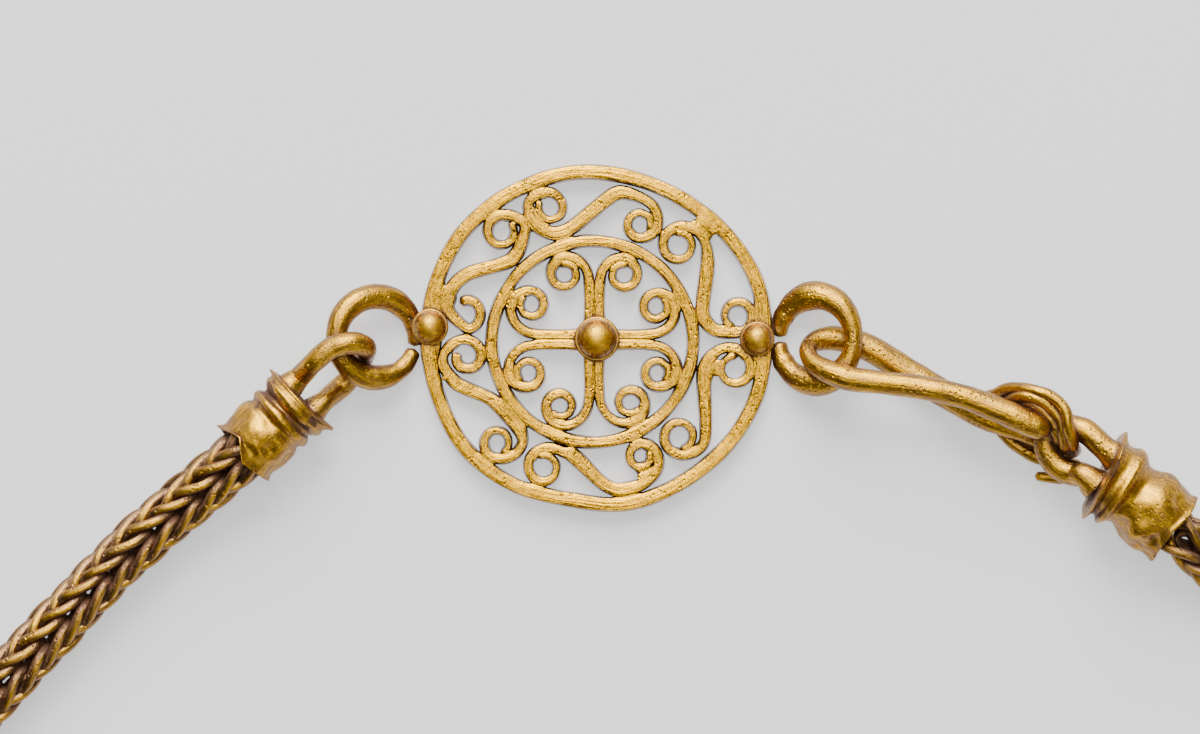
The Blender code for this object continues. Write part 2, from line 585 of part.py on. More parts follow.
def clasp_hook():
    """The hook: a rounded front leg, the bend through the ring, a back leg and its wound tail."""
    front = HOOK_FRONT_RADIUS
    back = HOOK_BACK_RADIUS
    tail = TAIL_RADIUS
    part = HOOK_PART
    high = RIGHT_OVER
    low = RIGHT_UNDER
    flat = tail + REST_GAP
    lifted = 2 * flat + LINK_GAP + 0.85 * back
    front_leg = [(14.05, -6.75, high - 0.1 * part, 0.3 * front),
                 (13.9, -6.67, high - 0.1 * part, 0.72 * front),
                 (13.65, -6.55, high - 0.05 * part, 0.9 * front), (13.1, -6.25, high, 0.95 * front),
                 (12.1, -5.7, high, front), (10.6, -5.0, high, front), (7.1, -3.95, high, front),
                 (3.5, -3.42, high, 1.02 * front), (-0.1, -2.88, high, 1.02 * front)]
    bend = [(-1.9, -2.3, high - 0.4 * part, 0.95 * front), (-2.95, -1.62, high - 1.1 * part, 0.85 * front),
            (-3.3, -0.95, (high + low) / 2, 0.8 * front), (-2.9, -0.3, low + 0.6 * part, 0.85 * front)]
    back_leg = [(-1.6, 0.05, low, 0.88 * back), (0.0, -0.15, low, 0.95 * back), (0.95, -0.62, low, back),
                (3.5, -1.8, low, back), (6.3, -3.75, low + 0.1 * part, 0.98 * back),
                (8.0, -4.85, lifted - 0.2 * part, 0.92 * back), (9.5, -5.7, lifted, 0.85 * back),
                (11.0, -6.35, lifted, 0.75 * back), (11.9, -6.7, lifted - 0.1 * part, 0.62 * back)]
    # The tail goes under the cap's loop, up through it, and twice round both legs and the loop
    first_turn = [(12.7, -7.1, flat + 0.9 * part, 1.15 * tail), (13.6, -7.5, flat + 0.8 * part, tail),
                  (14.5, -7.7, flat + 0.8 * part, tail), (15.1, -7.9, flat + 1.5 * part, tail),
                  (15.2, -7.8, high - 1.3 * part, tail), (15.15, -7.3, high - 0.3 * part, tail),
                  (15.0, -6.4, high - 0.1 * part, tail), (14.75, -5.65, high, tail),
                  (14.15, -5.0, high, tail),
                  (13.2, -4.3, high, tail), (12.15, -4.1, high - 0.3 * part, tail),
                  (11.3, -4.35, high - 1 * part, tail), (10.7, -4.7, high - 2 * part, tail),
                  (10.5, -4.8, flat + 0.9 * part, tail), (10.55, -5.25, flat + 0.3 * part, tail),
                  (10.8, -5.75, flat, tail), (11.3, -6.4, flat, tail), (12.0, -7.0, flat, tail),
                  (12.8, -7.5, flat, tail), (13.75, -7.9, flat, tail)]
    second_turn = [(14.8, -8.2, flat, tail), (15.6, -8.25, flat + 0.4 * part, tail),
                   (15.98, -8.05, flat + 1.5 * part, tail), (16.0, -7.95, high - 1.3 * part, tail),
                   (15.97, -7.5, high - 0.2 * part, tail), (15.8, -6.88, high + 0.2 * part, tail),
                   (15.6, -6.15, high + 0.4 * part, tail), (15.5, -5.3, high + 0.4 * part, tail),
                   (15.05, -4.5, high + 0.3 * part, tail), (14.4, -3.95, high + 0.2 * part, tail),
                   (13.7, -3.6, high + 0.1 * part, tail), (12.95, -3.42, high, tail),
                   (11.9, -3.2, high - 0.6 * part, tail), (10.85, -3.25, high - 1.2 * part, tail),
                   (9.95, -3.65, high - 1.9 * part, tail), (9.15, -4.0, flat + 0.9 * part, tail),
                   (9.25, -4.55, flat + 0.1 * part, tail), (9.5, -5.35, flat, tail),
                   (10.2, -6.5, flat, tail),
                   (11.1, -7.45, flat, tail), (12.05, -8.1, flat, tail)]
    cut_end = [(13.05, -8.55, flat, tail), (14.2, -8.85, flat, tail), (15.1, -9.05, flat, tail),
               (15.9, -9.0, flat, tail), (16.35, -9.35, flat, tail), (16.0, -9.85, flat, tail),
               (15.1, -10.0, flat, tail), (14.1, -9.95, flat, tail), (13.25, -9.85, flat, tail),
               (13.1, -9.85, flat, 0.7 * tail)]
    points = front_leg + bend + back_leg + first_turn + second_turn + cut_end
    wire_object("clasp_hook", placed(points, RIGHT_LINK, part), GOLD, 0.24, HOOK_STEP)


# The chain's way over the table from the mouth of each cap, in parts of which its fall holds 51
LEFT_WAY = ((-4.3, -3.6), (-8.2, -7.0), (-13.4, -12.4), (-19.0, -18.6), (-25.5, -28.5), (-29.3, -40.0),
            (-30.5, -51.0))
RIGHT_WAY = ((4.4, -3.6), (9.0, -7.6), (15.3, -15.5), (20.3, -26.5), (22.8, -37.0), (23.2, -46.0))


def chain_route():
    """The chain's middle line from cap to cap, round a pear-shaped loop on the table."""
    rest = CHAIN_HALF_WIDTH + 2 * REST_GAP
    left_mouth = LEFT_CAP.at(LEFT_CAP.length)
    right_mouth = RIGHT_CAP.at(RIGHT_CAP.length)
    part = CHAIN_PART
    left = [(left_mouth.x + x * part, left_mouth.y + y * part, rest) for x, y in LEFT_WAY]
    right = [(right_mouth.x + x * part, right_mouth.y + y * part, rest) for x, y in RIGHT_WAY]
    middle = (left[-1][0] + right[-1][0]) / 2
    half = (right[-1][0] - left[-1][0]) / 2
    level = (left[-1][1] + right[-1][1]) / 2
    bottom = []
    for degrees in range(200, 350, 20):
        x, y = polar(1.0, degrees)
        bottom.append((middle + half * x, level + CHAIN_DROP * y, rest))
    points = [LEFT_CAP.at(LEFT_CAP.length - CHAIN_SEAT), left_mouth] + left + bottom + right[::-1]
    points += [right_mouth, RIGHT_CAP.at(RIGHT_CAP.length - CHAIN_SEAT)]
    route = smooth_route([tuple(point) for point in points], CHAIN_PITCH / 2)
    route[:, 2] = np.maximum(route[:, 2], rest)
    return route


# The chain's faces: a crest of nested V links every quarter turn, with a valley beside it where
# it shows. The crests of two opposite faces rise half a pitch away from the crests of the others.
CHAIN_FACES = (0.0, 90.0, 180.0, 270.0)
CHAIN_VALLEYS = (45.0, 135.0)


def chain():
    """The loop-in-loop chain: its links fused in one body with a row of V shapes on each face."""
    route = chain_route()
    tangents = np.gradient(route, axis=0)
    columns = sorted(CHAIN_FACES + CHAIN_VALLEYS)
    bm = bmesh.new()
    rows = []
    for index, (place, tangent) in enumerate(zip(route, tangents)):
        forward = Vector(tangent).normalized()
        side = Vector((0, 0, 1)).cross(forward).normalized()
        up = forward.cross(side)
        row = []
        for degrees in columns:
            radius = CHAIN_VALLEY_RADIUS
            lead = 0.0
            if degrees in CHAIN_FACES:
                faces_up = CHAIN_FACES.index(degrees) % 2
                radius = CHAIN_CREST_RADIUS if faces_up == index % 2 else CHAIN_GROOVE_RADIUS
                lead = CHAIN_APEX_LEAD
            angle = math.radians(degrees + CHAIN_ROLL)
            offset = (side * math.cos(angle) + up * math.sin(angle)) * radius
            row.append(bm.verts.new(Vector(place) + offset - forward * lead))
        rows.append(row)
    for before, after in zip(rows, rows[1:]):
        for corner in range(len(columns)):
            ahead = (corner + 1) % len(columns)
            bm.faces.new((before[corner], before[ahead], after[ahead], after[corner]))
    bm.faces.new(rows[0])
    bm.faces.new(rows[-1])
    add_object("chain", bm, WORN_GOLD, 0.38)


def centre_on_origin():
    """Move the necklace so that the middle of its footprint is at the origin."""
    bpy.context.view_layer.update()
    graph = bpy.context.evaluated_depsgraph_get()
    low = Vector((math.inf,) * 3)
    high = -low
    for obj in necklace.children:
        solid = obj.evaluated_get(graph)
        mesh = solid.to_mesh()
        for vertex in mesh.vertices:
            place = solid.matrix_world @ vertex.co
            low = Vector(map(min, low, place))
            high = Vector(map(max, high, place))
        solid.to_mesh_clear()
    necklace.location = (-(low.x + high.x) / 2, -(low.y + high.y) / 2, 0.0)


for old in list(bpy.data.objects):
    bpy.data.objects.remove(old)

necklace = bpy.data.objects.new("necklace", None)
bpy.context.collection.objects.link(necklace)

outer_hoop()
inner_hoop()
for scroll_name, (first, bar_way, second) in OUTER_SCROLLS.items():
    scroll(scroll_name, first, bar_way, second)
for scroll_name, (quadrant, upright, level) in CROSS_SCROLLS.items():
    cross_scroll(scroll_name, quadrant, upright, level)
bead("centre_bead", 0.0, 0.0, CENTRE_BEAD_RADIUS, CENTRE_COLLAR_RADIUS)
bead("left_bead", LEFT_BEAD_INSET - MEDALLION_RADIUS, LEFT_BEAD_RISE, LEFT_BEAD_RADIUS,
     LEFT_COLLAR_RADIUS)
bead("right_bead", MEDALLION_RADIUS - RIGHT_BEAD_INSET, 0.0, RIGHT_BEAD_RADIUS, RIGHT_COLLAR_RADIUS)
rings()
LEFT_CAP.build()
RIGHT_CAP.build()
cap_loops()
clasp_hook()
chain()
centre_on_origin()
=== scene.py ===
# %% Load the frame
import math

import bmesh
import bpy
import numpy as np
from mathutils import Matrix, Vector, noise
from mathutils.bvhtree import BVHTree


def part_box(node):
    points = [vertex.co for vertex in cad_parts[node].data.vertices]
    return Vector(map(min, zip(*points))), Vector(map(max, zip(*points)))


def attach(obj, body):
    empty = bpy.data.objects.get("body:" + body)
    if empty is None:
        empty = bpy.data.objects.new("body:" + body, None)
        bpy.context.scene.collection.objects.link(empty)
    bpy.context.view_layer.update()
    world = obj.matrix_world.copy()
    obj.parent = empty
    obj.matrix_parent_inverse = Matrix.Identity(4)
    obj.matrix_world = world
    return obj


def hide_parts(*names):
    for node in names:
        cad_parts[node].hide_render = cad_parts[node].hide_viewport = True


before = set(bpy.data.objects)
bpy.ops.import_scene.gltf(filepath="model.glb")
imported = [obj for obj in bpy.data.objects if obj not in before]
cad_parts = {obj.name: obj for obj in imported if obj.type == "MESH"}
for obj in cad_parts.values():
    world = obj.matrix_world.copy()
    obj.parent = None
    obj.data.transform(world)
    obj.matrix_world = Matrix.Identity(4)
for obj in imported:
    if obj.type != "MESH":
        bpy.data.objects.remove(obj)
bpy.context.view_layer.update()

MM = 0.001

# %% [markdown]
# # A gold necklace, lying loose
# The real necklace is soldered and bent from gold strip, sheet and wire. The solids of the frame hold
# its sizes and places. Here each of them is made again as a maker would see it: strips with soft
# edges, wires that swell and thin, caps of dented sheet, and a chain of real folded links.
# The camera comes first, because it decides how much detail each piece needs. The photograph looks
# straight down, so a long lens far above the table keeps the outlines free of perspective.

# %% Camera above the table
grain_low, grain_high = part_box("centre_bead")
MIDDLE = (grain_low + grain_high) / 2
VIEW_WIDTH = 0.0864
VIEW_SHIFT = Vector((0.000216, -0.002016))
CAMERA_HEIGHT = 1.2
SENSOR_WIDTH = 36.0

camera_data = bpy.data.cameras.new("camera")
camera_data.sensor_width = SENSOR_WIDTH
camera_data.lens = SENSOR_WIDTH * CAMERA_HEIGHT / VIEW_WIDTH
camera_data.clip_start = 0.05
camera_data.clip_end = 10.0
camera = bpy.data.objects.new("camera", camera_data)
camera.location = (MIDDLE.x + VIEW_SHIFT.x, MIDDLE.y + VIEW_SHIFT.y, CAMERA_HEIGHT)
bpy.context.scene.collection.objects.link(camera)
bpy.context.scene.camera = camera
print("camera over", [round(place / MM, 2) for place in camera.location])

# %% [markdown]
# ## Table and light
# Gold shows what it reflects. A large soft light from the top of the picture gives the long bright
# streaks, a weaker overhead one opens the shadows, and a dim grey world leaves the lower sides brown.
# Softboxes are the plain way to light metal: their edges are what the eye reads as polish. The card
# glows a little, because the photograph has almost no shadow under the strips, and a glow opens
# such shadows more evenly than one more lamp.

# %% Pale table and soft lights
TABLE_SIZE = 3.0
TABLE_GREY = (0.515, 0.515, 0.515, 1.0)
TABLE_SHADE = (0.5047, 0.5047, 0.5047, 1.0)
TABLE_GLOW = 0.73
TABLE_CLOUDS = 3.0
TABLE_ROUGHNESS = 0.9
TABLE_SPECULAR = 0.2
WORLD_COLOUR = (0.75, 0.78, 0.82, 1.0)
WORLD_STRENGTH = 0.09


def feed(node, values):
    """Link or set a node's inputs: each of the values is (input, socket or value)."""
    for name, value in values:
        if isinstance(value, bpy.types.NodeSocket):
            node.id_data.links.new(value, node.inputs[name])
        else:
            node.inputs[name].default_value = value


def add_node(tree, kind, values=(), **settings):
    """A new node with its inputs fed."""
    node = tree.nodes.new(kind)
    for key, value in settings.items():
        setattr(node, key, value)
    feed(node, values)
    return node


def new_material(name):
    """A material with its node tree and its Principled shader."""
    material = bpy.data.materials.new(name)
    material.use_nodes = True
    return material, material.node_tree, material.node_tree.nodes["Principled BSDF"]


def table_material():
    """Matt pale card with a breath of unevenness."""
    material, tree, shader = new_material("table_card")
    place = add_node(tree, "ShaderNodeTexCoord").outputs["Object"]
    cloud = add_node(tree, "ShaderNodeTexNoise", (("Vector", place), ("Scale", TABLE_CLOUDS)))
    tone = add_node(tree, "ShaderNodeValToRGB", (("Fac", cloud.outputs["Fac"]),))
    tone.color_ramp.elements[0].color = TABLE_SHADE
    tone.color_ramp.elements[1].color = TABLE_GREY
    feed(shader, (("Base Color", tone.outputs["Color"]), ("Roughness", TABLE_ROUGHNESS),
                  ("Specular IOR Level", TABLE_SPECULAR), ("Emission Color", (1.0, 1.0, 1.0, 1.0)),
                  ("Emission Strength", TABLE_GLOW)))
    return material


table_bm = bmesh.new()
bmesh.ops.create_grid(table_bm, x_segments=1, y_segments=1, size=TABLE_SIZE / 2)
table_mesh = bpy.data.meshes.new("table")
table_bm.to_mesh(table_mesh)
table_bm.free()
table_mesh.materials.append(table_material())
table = bpy.data.objects.new("table", table_mesh)
bpy.context.scene.collection.objects.link(table)


def softbox(name, place, size, power):
    """A square area light that looks at the necklace."""
    light = bpy.data.lights.new(name, "AREA")
    light.size = size
    light.energy = power
    lamp = bpy.data.objects.new(name, light)
    lamp.location = place
    target = Vector((MIDDLE.x, MIDDLE.y, 0.0))
    lamp.rotation_mode = "QUATERNION"
    lamp.rotation_quaternion = (target - Vector(place)).to_track_quat("-Z", "Y")
    bpy.context.scene.collection.objects.link(lamp)


softbox("top_softbox", (-0.08, 0.85, 0.66), 0.8, 29.0)
softbox("overhead_softbox", (0.0, 0.2, 1.6), 0.75, 9.6)
softbox("low_fill", (0.5, -0.7, 0.6), 0.4, 1.2)

world = bpy.data.worlds.new("studio")
world.use_nodes = True
feed(world.node_tree.nodes["Background"], (("Color", WORLD_COLOUR), ("Strength", WORLD_STRENGTH)))
bpy.context.scene.world = world

# %% [markdown]
# ## Sweeping a section along a route
# Nearly everything here is a long thin thing bent along a line: strip, wire, chain link. One helper
# extrudes a closed outline from station to station, which keeps the faces in tidy rows. A curve
# object with a bevel would be quicker to make, but its section can't change its width and height by
# themselves, and the rows are wanted later for hammering and for solder. Each corner also keeps a
# mark, an attribute that says where it lies in the drawn strip or wire, so that a material can lay
# streaks along it however it bends.

# %% Helpers for routes and sweeps
ROUTE_SAMPLES = 12


def spans(rows):
    """The length of each row."""
    return np.linalg.norm(rows, axis=1)


def unit(rows):
    """Each row as a direction."""
    return rows / spans(rows)[:, None]


def smooth_route(points, step, closed=False):
    """Even places along a centripetal Catmull-Rom curve through points of any dimension."""
    stations = [np.array(point, dtype=float) for point in points]
    if closed:
        stations = [stations[-1]] + stations + stations[:2]
    else:
        stations = [2 * stations[0] - stations[1]] + stations + [2 * stations[-1] - stations[-2]]
    dense = []
    for first, start, end, last in zip(stations, stations[1:], stations[2:], stations[3:]):
        knots = [0.0]
        for a, b in ((first, start), (start, end), (end, last)):
            knots.append(knots[-1] + max(np.linalg.norm(b - a), 1e-9) ** 0.5)
        for sample in range(ROUTE_SAMPLES):
            t = knots[1] + (knots[2] - knots[1]) * sample / ROUTE_SAMPLES
            low = first + (start - first) * (t - knots[0]) / (knots[1] - knots[0])
            mid = start + (end - start) * (t - knots[1]) / (knots[2] - knots[1])
            high = end + (last - end) * (t - knots[2]) / (knots[3] - knots[2])
            low = low + (mid - low) * (t - knots[0]) / (knots[2] - knots[0])
            high = mid + (high - mid) * (t - knots[1]) / (knots[3] - knots[1])
            dense.append(low + (high - low) * (t - knots[1]) / (knots[2] - knots[1]))
    dense.append(stations[-2])
    dense = np.array(dense)
    along = np.concatenate(([0.0], np.cumsum(spans(np.diff(dense, axis=0)))))
    wanted = np.linspace(0.0, along[-1], max(4, round(along[-1] / step)) + 1)
    route = np.stack([np.interp(wanted, along, column) for column in dense.T], axis=1)
    return route[:-1] if closed else route


def ring_edges(bm, ring):
    """The edges round a closed ring of vertices."""
    return [bm.edges.get(pair) for pair in zip(ring, ring[1:] + ring[:1])]


def extruded_ring(bm, ring):
    """Extrude a closed ring of vertices and give the new ring in the same order."""
    made = bmesh.ops.extrude_edge_only(bm, edges=ring_edges(bm, ring))["geom"]
    new = {item for item in made if isinstance(item, bmesh.types.BMVert)}
    return [next(e.other_vert(v) for e in v.link_edges if e.other_vert(v) in new) for v in ring]


def sweep(bm, outlines, marks, closed=False):
    """Extrude an outline through its places at each station, and close or cap the ends."""
    drawn = bm.verts.layers.float_vector.new("drawn")
    ring = [bm.verts.new(place) for place in outlines[0]]
    first_edges = [bm.edges.new(pair) for pair in zip(ring, ring[1:] + ring[:1])]
    first_ring = ring
    for station, (outline, mark) in enumerate(zip(outlines, marks)):
        if station > 0:
            ring = extruded_ring(bm, ring)
        for vertex, place, value in zip(ring, outline, mark):
            vertex.co = place
            vertex[drawn] = value
    if closed:
        bmesh.ops.bridge_loops(bm, edges=first_edges + ring_edges(bm, ring))
    else:
        bmesh.ops.contextual_create(bm, geom=first_ring)
        bmesh.ops.contextual_create(bm, geom=ring)


def face_outwards(bm):
    """Turn all faces of one closed shape outwards."""
    bmesh.ops.recalc_face_normals(bm, faces=bm.faces[:])
    if bm.calc_volume(signed=True) < 0:
        bmesh.ops.reverse_faces(bm, faces=bm.faces[:])


def finished_object(name, bm):
    """Turn a bmesh into a smooth-shaded object at the origin."""
    mesh = bpy.data.meshes.new(name)
    bm.to_mesh(mesh)
    bm.free()
    mesh.shade_smooth()
    obj = bpy.data.objects.new(name, mesh)
    bpy.context.scene.collection.objects.link(obj)
    return obj


def ease(t):
    """A smooth step from 0 to 1, for numbers or arrays."""
    t = np.clip(t, 0.0, 1.0)
    return t * t * (3 - 2 * t)


pieces = {}

# %% [markdown]
# ## Reading the strips' routes
# The medallion is made of gold strip that stands on its edge. The frame already holds where each
# strip runs, so its route is read from the frame's solid: the outline of its flat back is walked
# round, its two square ends are found, and opposite corners are paired. Typing the routes again would
# be simpler to read, but then they could disagree with the frame.

# %% Routes of the strips
MERGE = 0.000001
ON_BACK = 0.00001
UPRIGHT = 0.5
END_TURN = 60.0


def merged_copy(node):
    """A bmesh of a node's solid, with its loose triangles joined at their corners."""
    bm = bmesh.new()
    bm.from_mesh(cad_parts[node].data)
    bmesh.ops.remove_doubles(bm, verts=bm.verts[:], dist=MERGE)
    return bm


def back_outlines(node):
    """The outlines of a strip's flat back, each a closed row of (x, y)."""
    bm = merged_copy(node)
    ahead = {}
    for face in bm.faces:
        if abs(face.normal.z) > UPRIGHT:
            continue
        for loop in face.loops:
            low, high = loop.vert, loop.link_loop_next.vert
            if max(low.co.z, high.co.z) < ON_BACK:
                ahead[low.index] = high.index
    places = {vertex.index: np.array(vertex.co[:2]) for vertex in bm.verts}
    bm.free()
    outlines = []
    while ahead:
        index, after = ahead.popitem()
        row = [places[index]]
        while after in ahead:
            row.append(places[after])
            after = ahead.pop(after)
        outlines.append(np.array(row))
    return outlines


def bearings(rows):
    """The angle of each row in the plan."""
    return np.arctan2(rows[:, 1], rows[:, 0])


def strip_rows(node):
    """A strip's middle line with its half widths, as rows of (x, y, half width), and if it closes."""
    outlines = back_outlines(node)
    if len(outlines) == 2:
        centre = (outlines[0].mean(axis=0) + outlines[1].mean(axis=0)) / 2
        left, right = [outline[np.argsort(bearings(outline - centre))] for outline in outlines]
        apart = np.abs(bearings(right - centre) - bearings(left - centre)[0])
        right = np.roll(right, -int(np.argmin(apart)), axis=0)
    else:
        outline = outlines[0]
        forward = unit(np.roll(outline, -1, axis=0) - outline)
        back = np.roll(forward, 1, axis=0)
        turn = np.degrees(np.arctan2(back[:, 0] * forward[:, 1] - back[:, 1] * forward[:, 0],
                                     (back * forward).sum(axis=1)))
        square = np.abs(turn) > END_TURN
        ends = [i for i in range(len(outline)) if square[i] and square[(i + 1) % len(outline)]]
        outline = np.roll(outline, -(ends[0] + 1), axis=0)
        half = len(outline) // 2
        left = outline[:half]
        right = outline[half:][::-1]
    return np.column_stack(((left + right) / 2, spans(left - right) / 2)), len(outlines) == 2


strips = {}
for node in sorted(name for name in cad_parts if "hoop" in name or "scroll" in name):
    strips[node] = strip_rows(node)
    widths = strips[node][0][:, 2] * 2 / MM
    print(node, "stations", len(widths), "widths mm", widths.min().round(2), widths.max().round(2))

# %% [markdown]
# ## Solder between the strips
# The maker flooded the places where strips touch with solder, so they melt into each other there.
# The frame keeps a small gap between them. Each side of a strip is widened where another strip is
# near, until the two just overlap, and the widening fades as they part: that is the neck that solder
# draws. A boolean union would give one hard crease instead, and one unmanageable mesh. In a few
# corners the solder stands in a thick pool. Those are listed, as seen on the real piece, and
# the strips' sides grow into them. First each scroll's eyes are wound on until their thin ends meet
# the strip again, except two that were left open.

# %% Widening towards the neighbours
STRIP_SPACING = 0.14 * MM
SOLDER_CLOSE = 0.04 * MM
SOLDER_REACH = 0.17 * MM
SOLDER_OVERLAP = 0.08 * MM
SAME_STRIP = 1.7 * MM
SOLDER_FACING = 0.8
POOL_FACING = 0.5
FAR = 1.0
SEAT_FLAT = 0.8 * MM
SEAT_SPREAD = 0.5 * MM
SEAT_REACH = 2.6 * MM
# Pools: millimetres to the right and up from the centre bead, reach, and growth of each side
SOLDER_POOLS = ((7.95, 8.25, 2.0, 0.75), (8.5, -2.1, 1.6, 0.6), (3.5, -10.0, 1.5, 0.5),
                (-11.2, 3.1, 1.5, 0.5), (-10.7, -2.6, 1.5, 0.4))

HOOP_SWELL = 0.01 * MM
SCROLL_SWELL = 0.035 * MM
EYE_CLOSING = 2.0 * MM
OWN_CURL = 2.2 * MM
CURL_STEPS = 6
CURL_MEETING = 0.2
TIP_LENGTH = 5.0 * MM
TIP_THINNING = 0.38
# Scrolls with an eye that stays open: their lower one (-1) or their upper one (1)
OPEN_EYES = {"scroll_upper_left": -1, "scroll_lower_left": 1}


def curled_on(route):
    """A route with its last curl carried on round, until it meets the strip it belongs to."""
    recent = route[-1, :2] - route[-CURL_STEPS, :2]
    earlier = route[-CURL_STEPS - 1, :2] - route[-2 * CURL_STEPS, :2]
    heading = math.atan2(recent[1], recent[0])
    turn = (heading - math.atan2(earlier[1], earlier[0]) + math.pi) % math.tau - math.pi
    bend = turn / CURL_STEPS
    heading += bend * (CURL_STEPS - 1) / 2
    rows = list(route)
    older = route[: -int(OWN_CURL / STRIP_SPACING)]
    for _ in range(int(EYE_CLOSING / STRIP_SPACING)):
        heading += bend
        place = rows[-1][:2] + STRIP_SPACING * np.array((math.cos(heading), math.sin(heading)))
        rows.append(np.array((*place, route[-1, 2])))
        if (spans(older[:, :2] - place) - older[:, 2]).min() < CURL_MEETING * route[-1, 2]:
            break
    rows = np.array(rows)
    from_tip = np.arange(len(rows))[::-1] * STRIP_SPACING
    rows[:, 2] *= 1.0 - TIP_THINNING * (1.0 - ease(from_tip / TIP_LENGTH))
    return rows


routes = {}
for node, (rows, closed) in strips.items():
    route = smooth_route(rows, STRIP_SPACING, closed)
    for _ in range(0 if closed else 2):
        route = route[::-1]
        if (route[-1, 1] - route[0, 1]) * OPEN_EYES.get(node, 0) <= 0:
            route = curled_on(route)
    flat = route[:, :2]
    if closed:
        ahead = unit(np.roll(flat, -1, axis=0) - np.roll(flat, 1, axis=0))
    else:
        ahead = unit(np.gradient(flat, axis=0))
    routes[node] = {"middle": flat, "half": route[:, 2] + (HOOP_SWELL if closed else SCROLL_SWELL),
                    "side": np.column_stack((-ahead[:, 1], ahead[:, 0])), "closed": closed,
                    "along": np.arange(len(route)) * STRIP_SPACING}

all_middle, all_half, all_along = (np.concatenate([way[key] for way in routes.values()])
                                   for key in ("middle", "half", "along"))
all_strip = np.repeat(np.arange(len(routes)), [len(way["half"]) for way in routes.values()])


def solder_growth(index, way):
    """How much each side of a strip grows towards its neighbours, as (left, right) arrays."""
    growth = np.zeros((2, len(way["half"])))
    for station, (middle, half) in enumerate(zip(way["middle"], way["half"])):
        to_other = all_middle - middle
        distance = spans(to_other)
        same = (all_strip == index) & (np.abs(all_along - way["along"][station]) < SAME_STRIP)
        gap = np.where(same, FAR, distance - half - all_half)
        for which, sign in enumerate((1.0, -1.0)):
            facing = (to_other @ (way["side"][station] * sign)) > SOLDER_FACING * distance
            near = np.where(facing, gap, FAR).min()
            share = 1.0 - ease((near - SOLDER_CLOSE) / (SOLDER_REACH - SOLDER_CLOSE))
            growth[which, station] = share * (max(near, 0.0) / 2 + SOLDER_OVERLAP)
    return growth


def seat_growth(way):
    """How much the outer hoop spreads inwards where the side beads sit on it."""
    spread = np.zeros(len(way["half"]))
    for bead in ("left_bead", "right_bead"):
        low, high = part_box(bead)
        near = spans(way["middle"] - np.array(((low + high) / 2)[:2]))
        spread = np.maximum(spread, SEAT_SPREAD * (1.0 - ease((near - SEAT_FLAT) / SEAT_REACH)))
    return spread


def pool_growth(way, sign):
    """How much one side of a strip grows into the pools of solder that it faces."""
    growth = np.zeros(len(way["half"]))
    for right, up, reach, extra in SOLDER_POOLS:
        to_pool = np.array((MIDDLE.x + right * MM, MIDDLE.y + up * MM)) - way["middle"]
        away = spans(to_pool)
        facing = (to_pool * way["side"]).sum(axis=1) * sign > POOL_FACING * away
        growth = np.maximum(growth, facing * extra * MM * (1.0 - ease(away / (reach * MM))))
    return growth


for index, (node, way) in enumerate(routes.items()):
    way["left"], way["right"] = solder_growth(index, way)
    if node == "medallion_outer_hoop":
        to_centre = np.array(MIDDLE[:2]) - way["middle"]
        inner = "left" if (to_centre * way["side"]).sum(axis=1).mean() > 0 else "right"
        way[inner] = np.maximum(way[inner], seat_growth(way))
    for side_name, sign in (("left", 1.0), ("right", -1.0)):
        way[side_name] = np.maximum(way[side_name], pool_growth(way, sign))
print("most widened by", round(max(way["left"].max() for way in routes.values()) / MM, 3), "mm")

# %% [markdown]
# ## Strips of the medallion
# A bent strip of hammered gold has soft edges and a slightly crowned top. Its section is a rectangle
# whose corners are bevelled, and the section is swept along the route. The ends inside the eyes are
# drawn in so that they look nipped off and melted.

# %% Section and sweep of a strip
STRIP_ROUNDING = 0.06 * MM
STRIP_CROWN = 0.025 * MM
STRIP_SPLAY = 0.11 * MM
STRIP_END = 0.3 * MM
SPLAY_LEVEL = 0.6
END_WIDTH = 0.25
END_HEIGHT = 0.55
STRIP_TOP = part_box("medallion_outer_hoop")[1].z


def strip_section(width, height, rounding):
    """A rounded rectangle standing on its base, as closed rows of (sideways, up)."""
    bm = bmesh.new()
    verts = bmesh.ops.create_grid(bm, x_segments=1, y_segments=1, size=0.5)["verts"]
    bmesh.ops.scale(bm, vec=(width, height, 1.0), verts=verts)
    bmesh.ops.translate(bm, vec=(0.0, height / 2, 0.0), verts=verts)
    bmesh.ops.bevel(bm, geom=bm.verts[:], affect="VERTICES", offset=rounding, offset_type="OFFSET",
                    segments=2, profile=0.5, material=-1)
    long_edges = [edge for edge in bm.edges if edge.calc_length() > rounding]
    bmesh.ops.subdivide_edges(bm, edges=long_edges, cuts=2)
    face = bm.faces[:][0]
    section = np.array([loop.vert.co[:2] for loop in face.loops])
    bm.free()
    return section


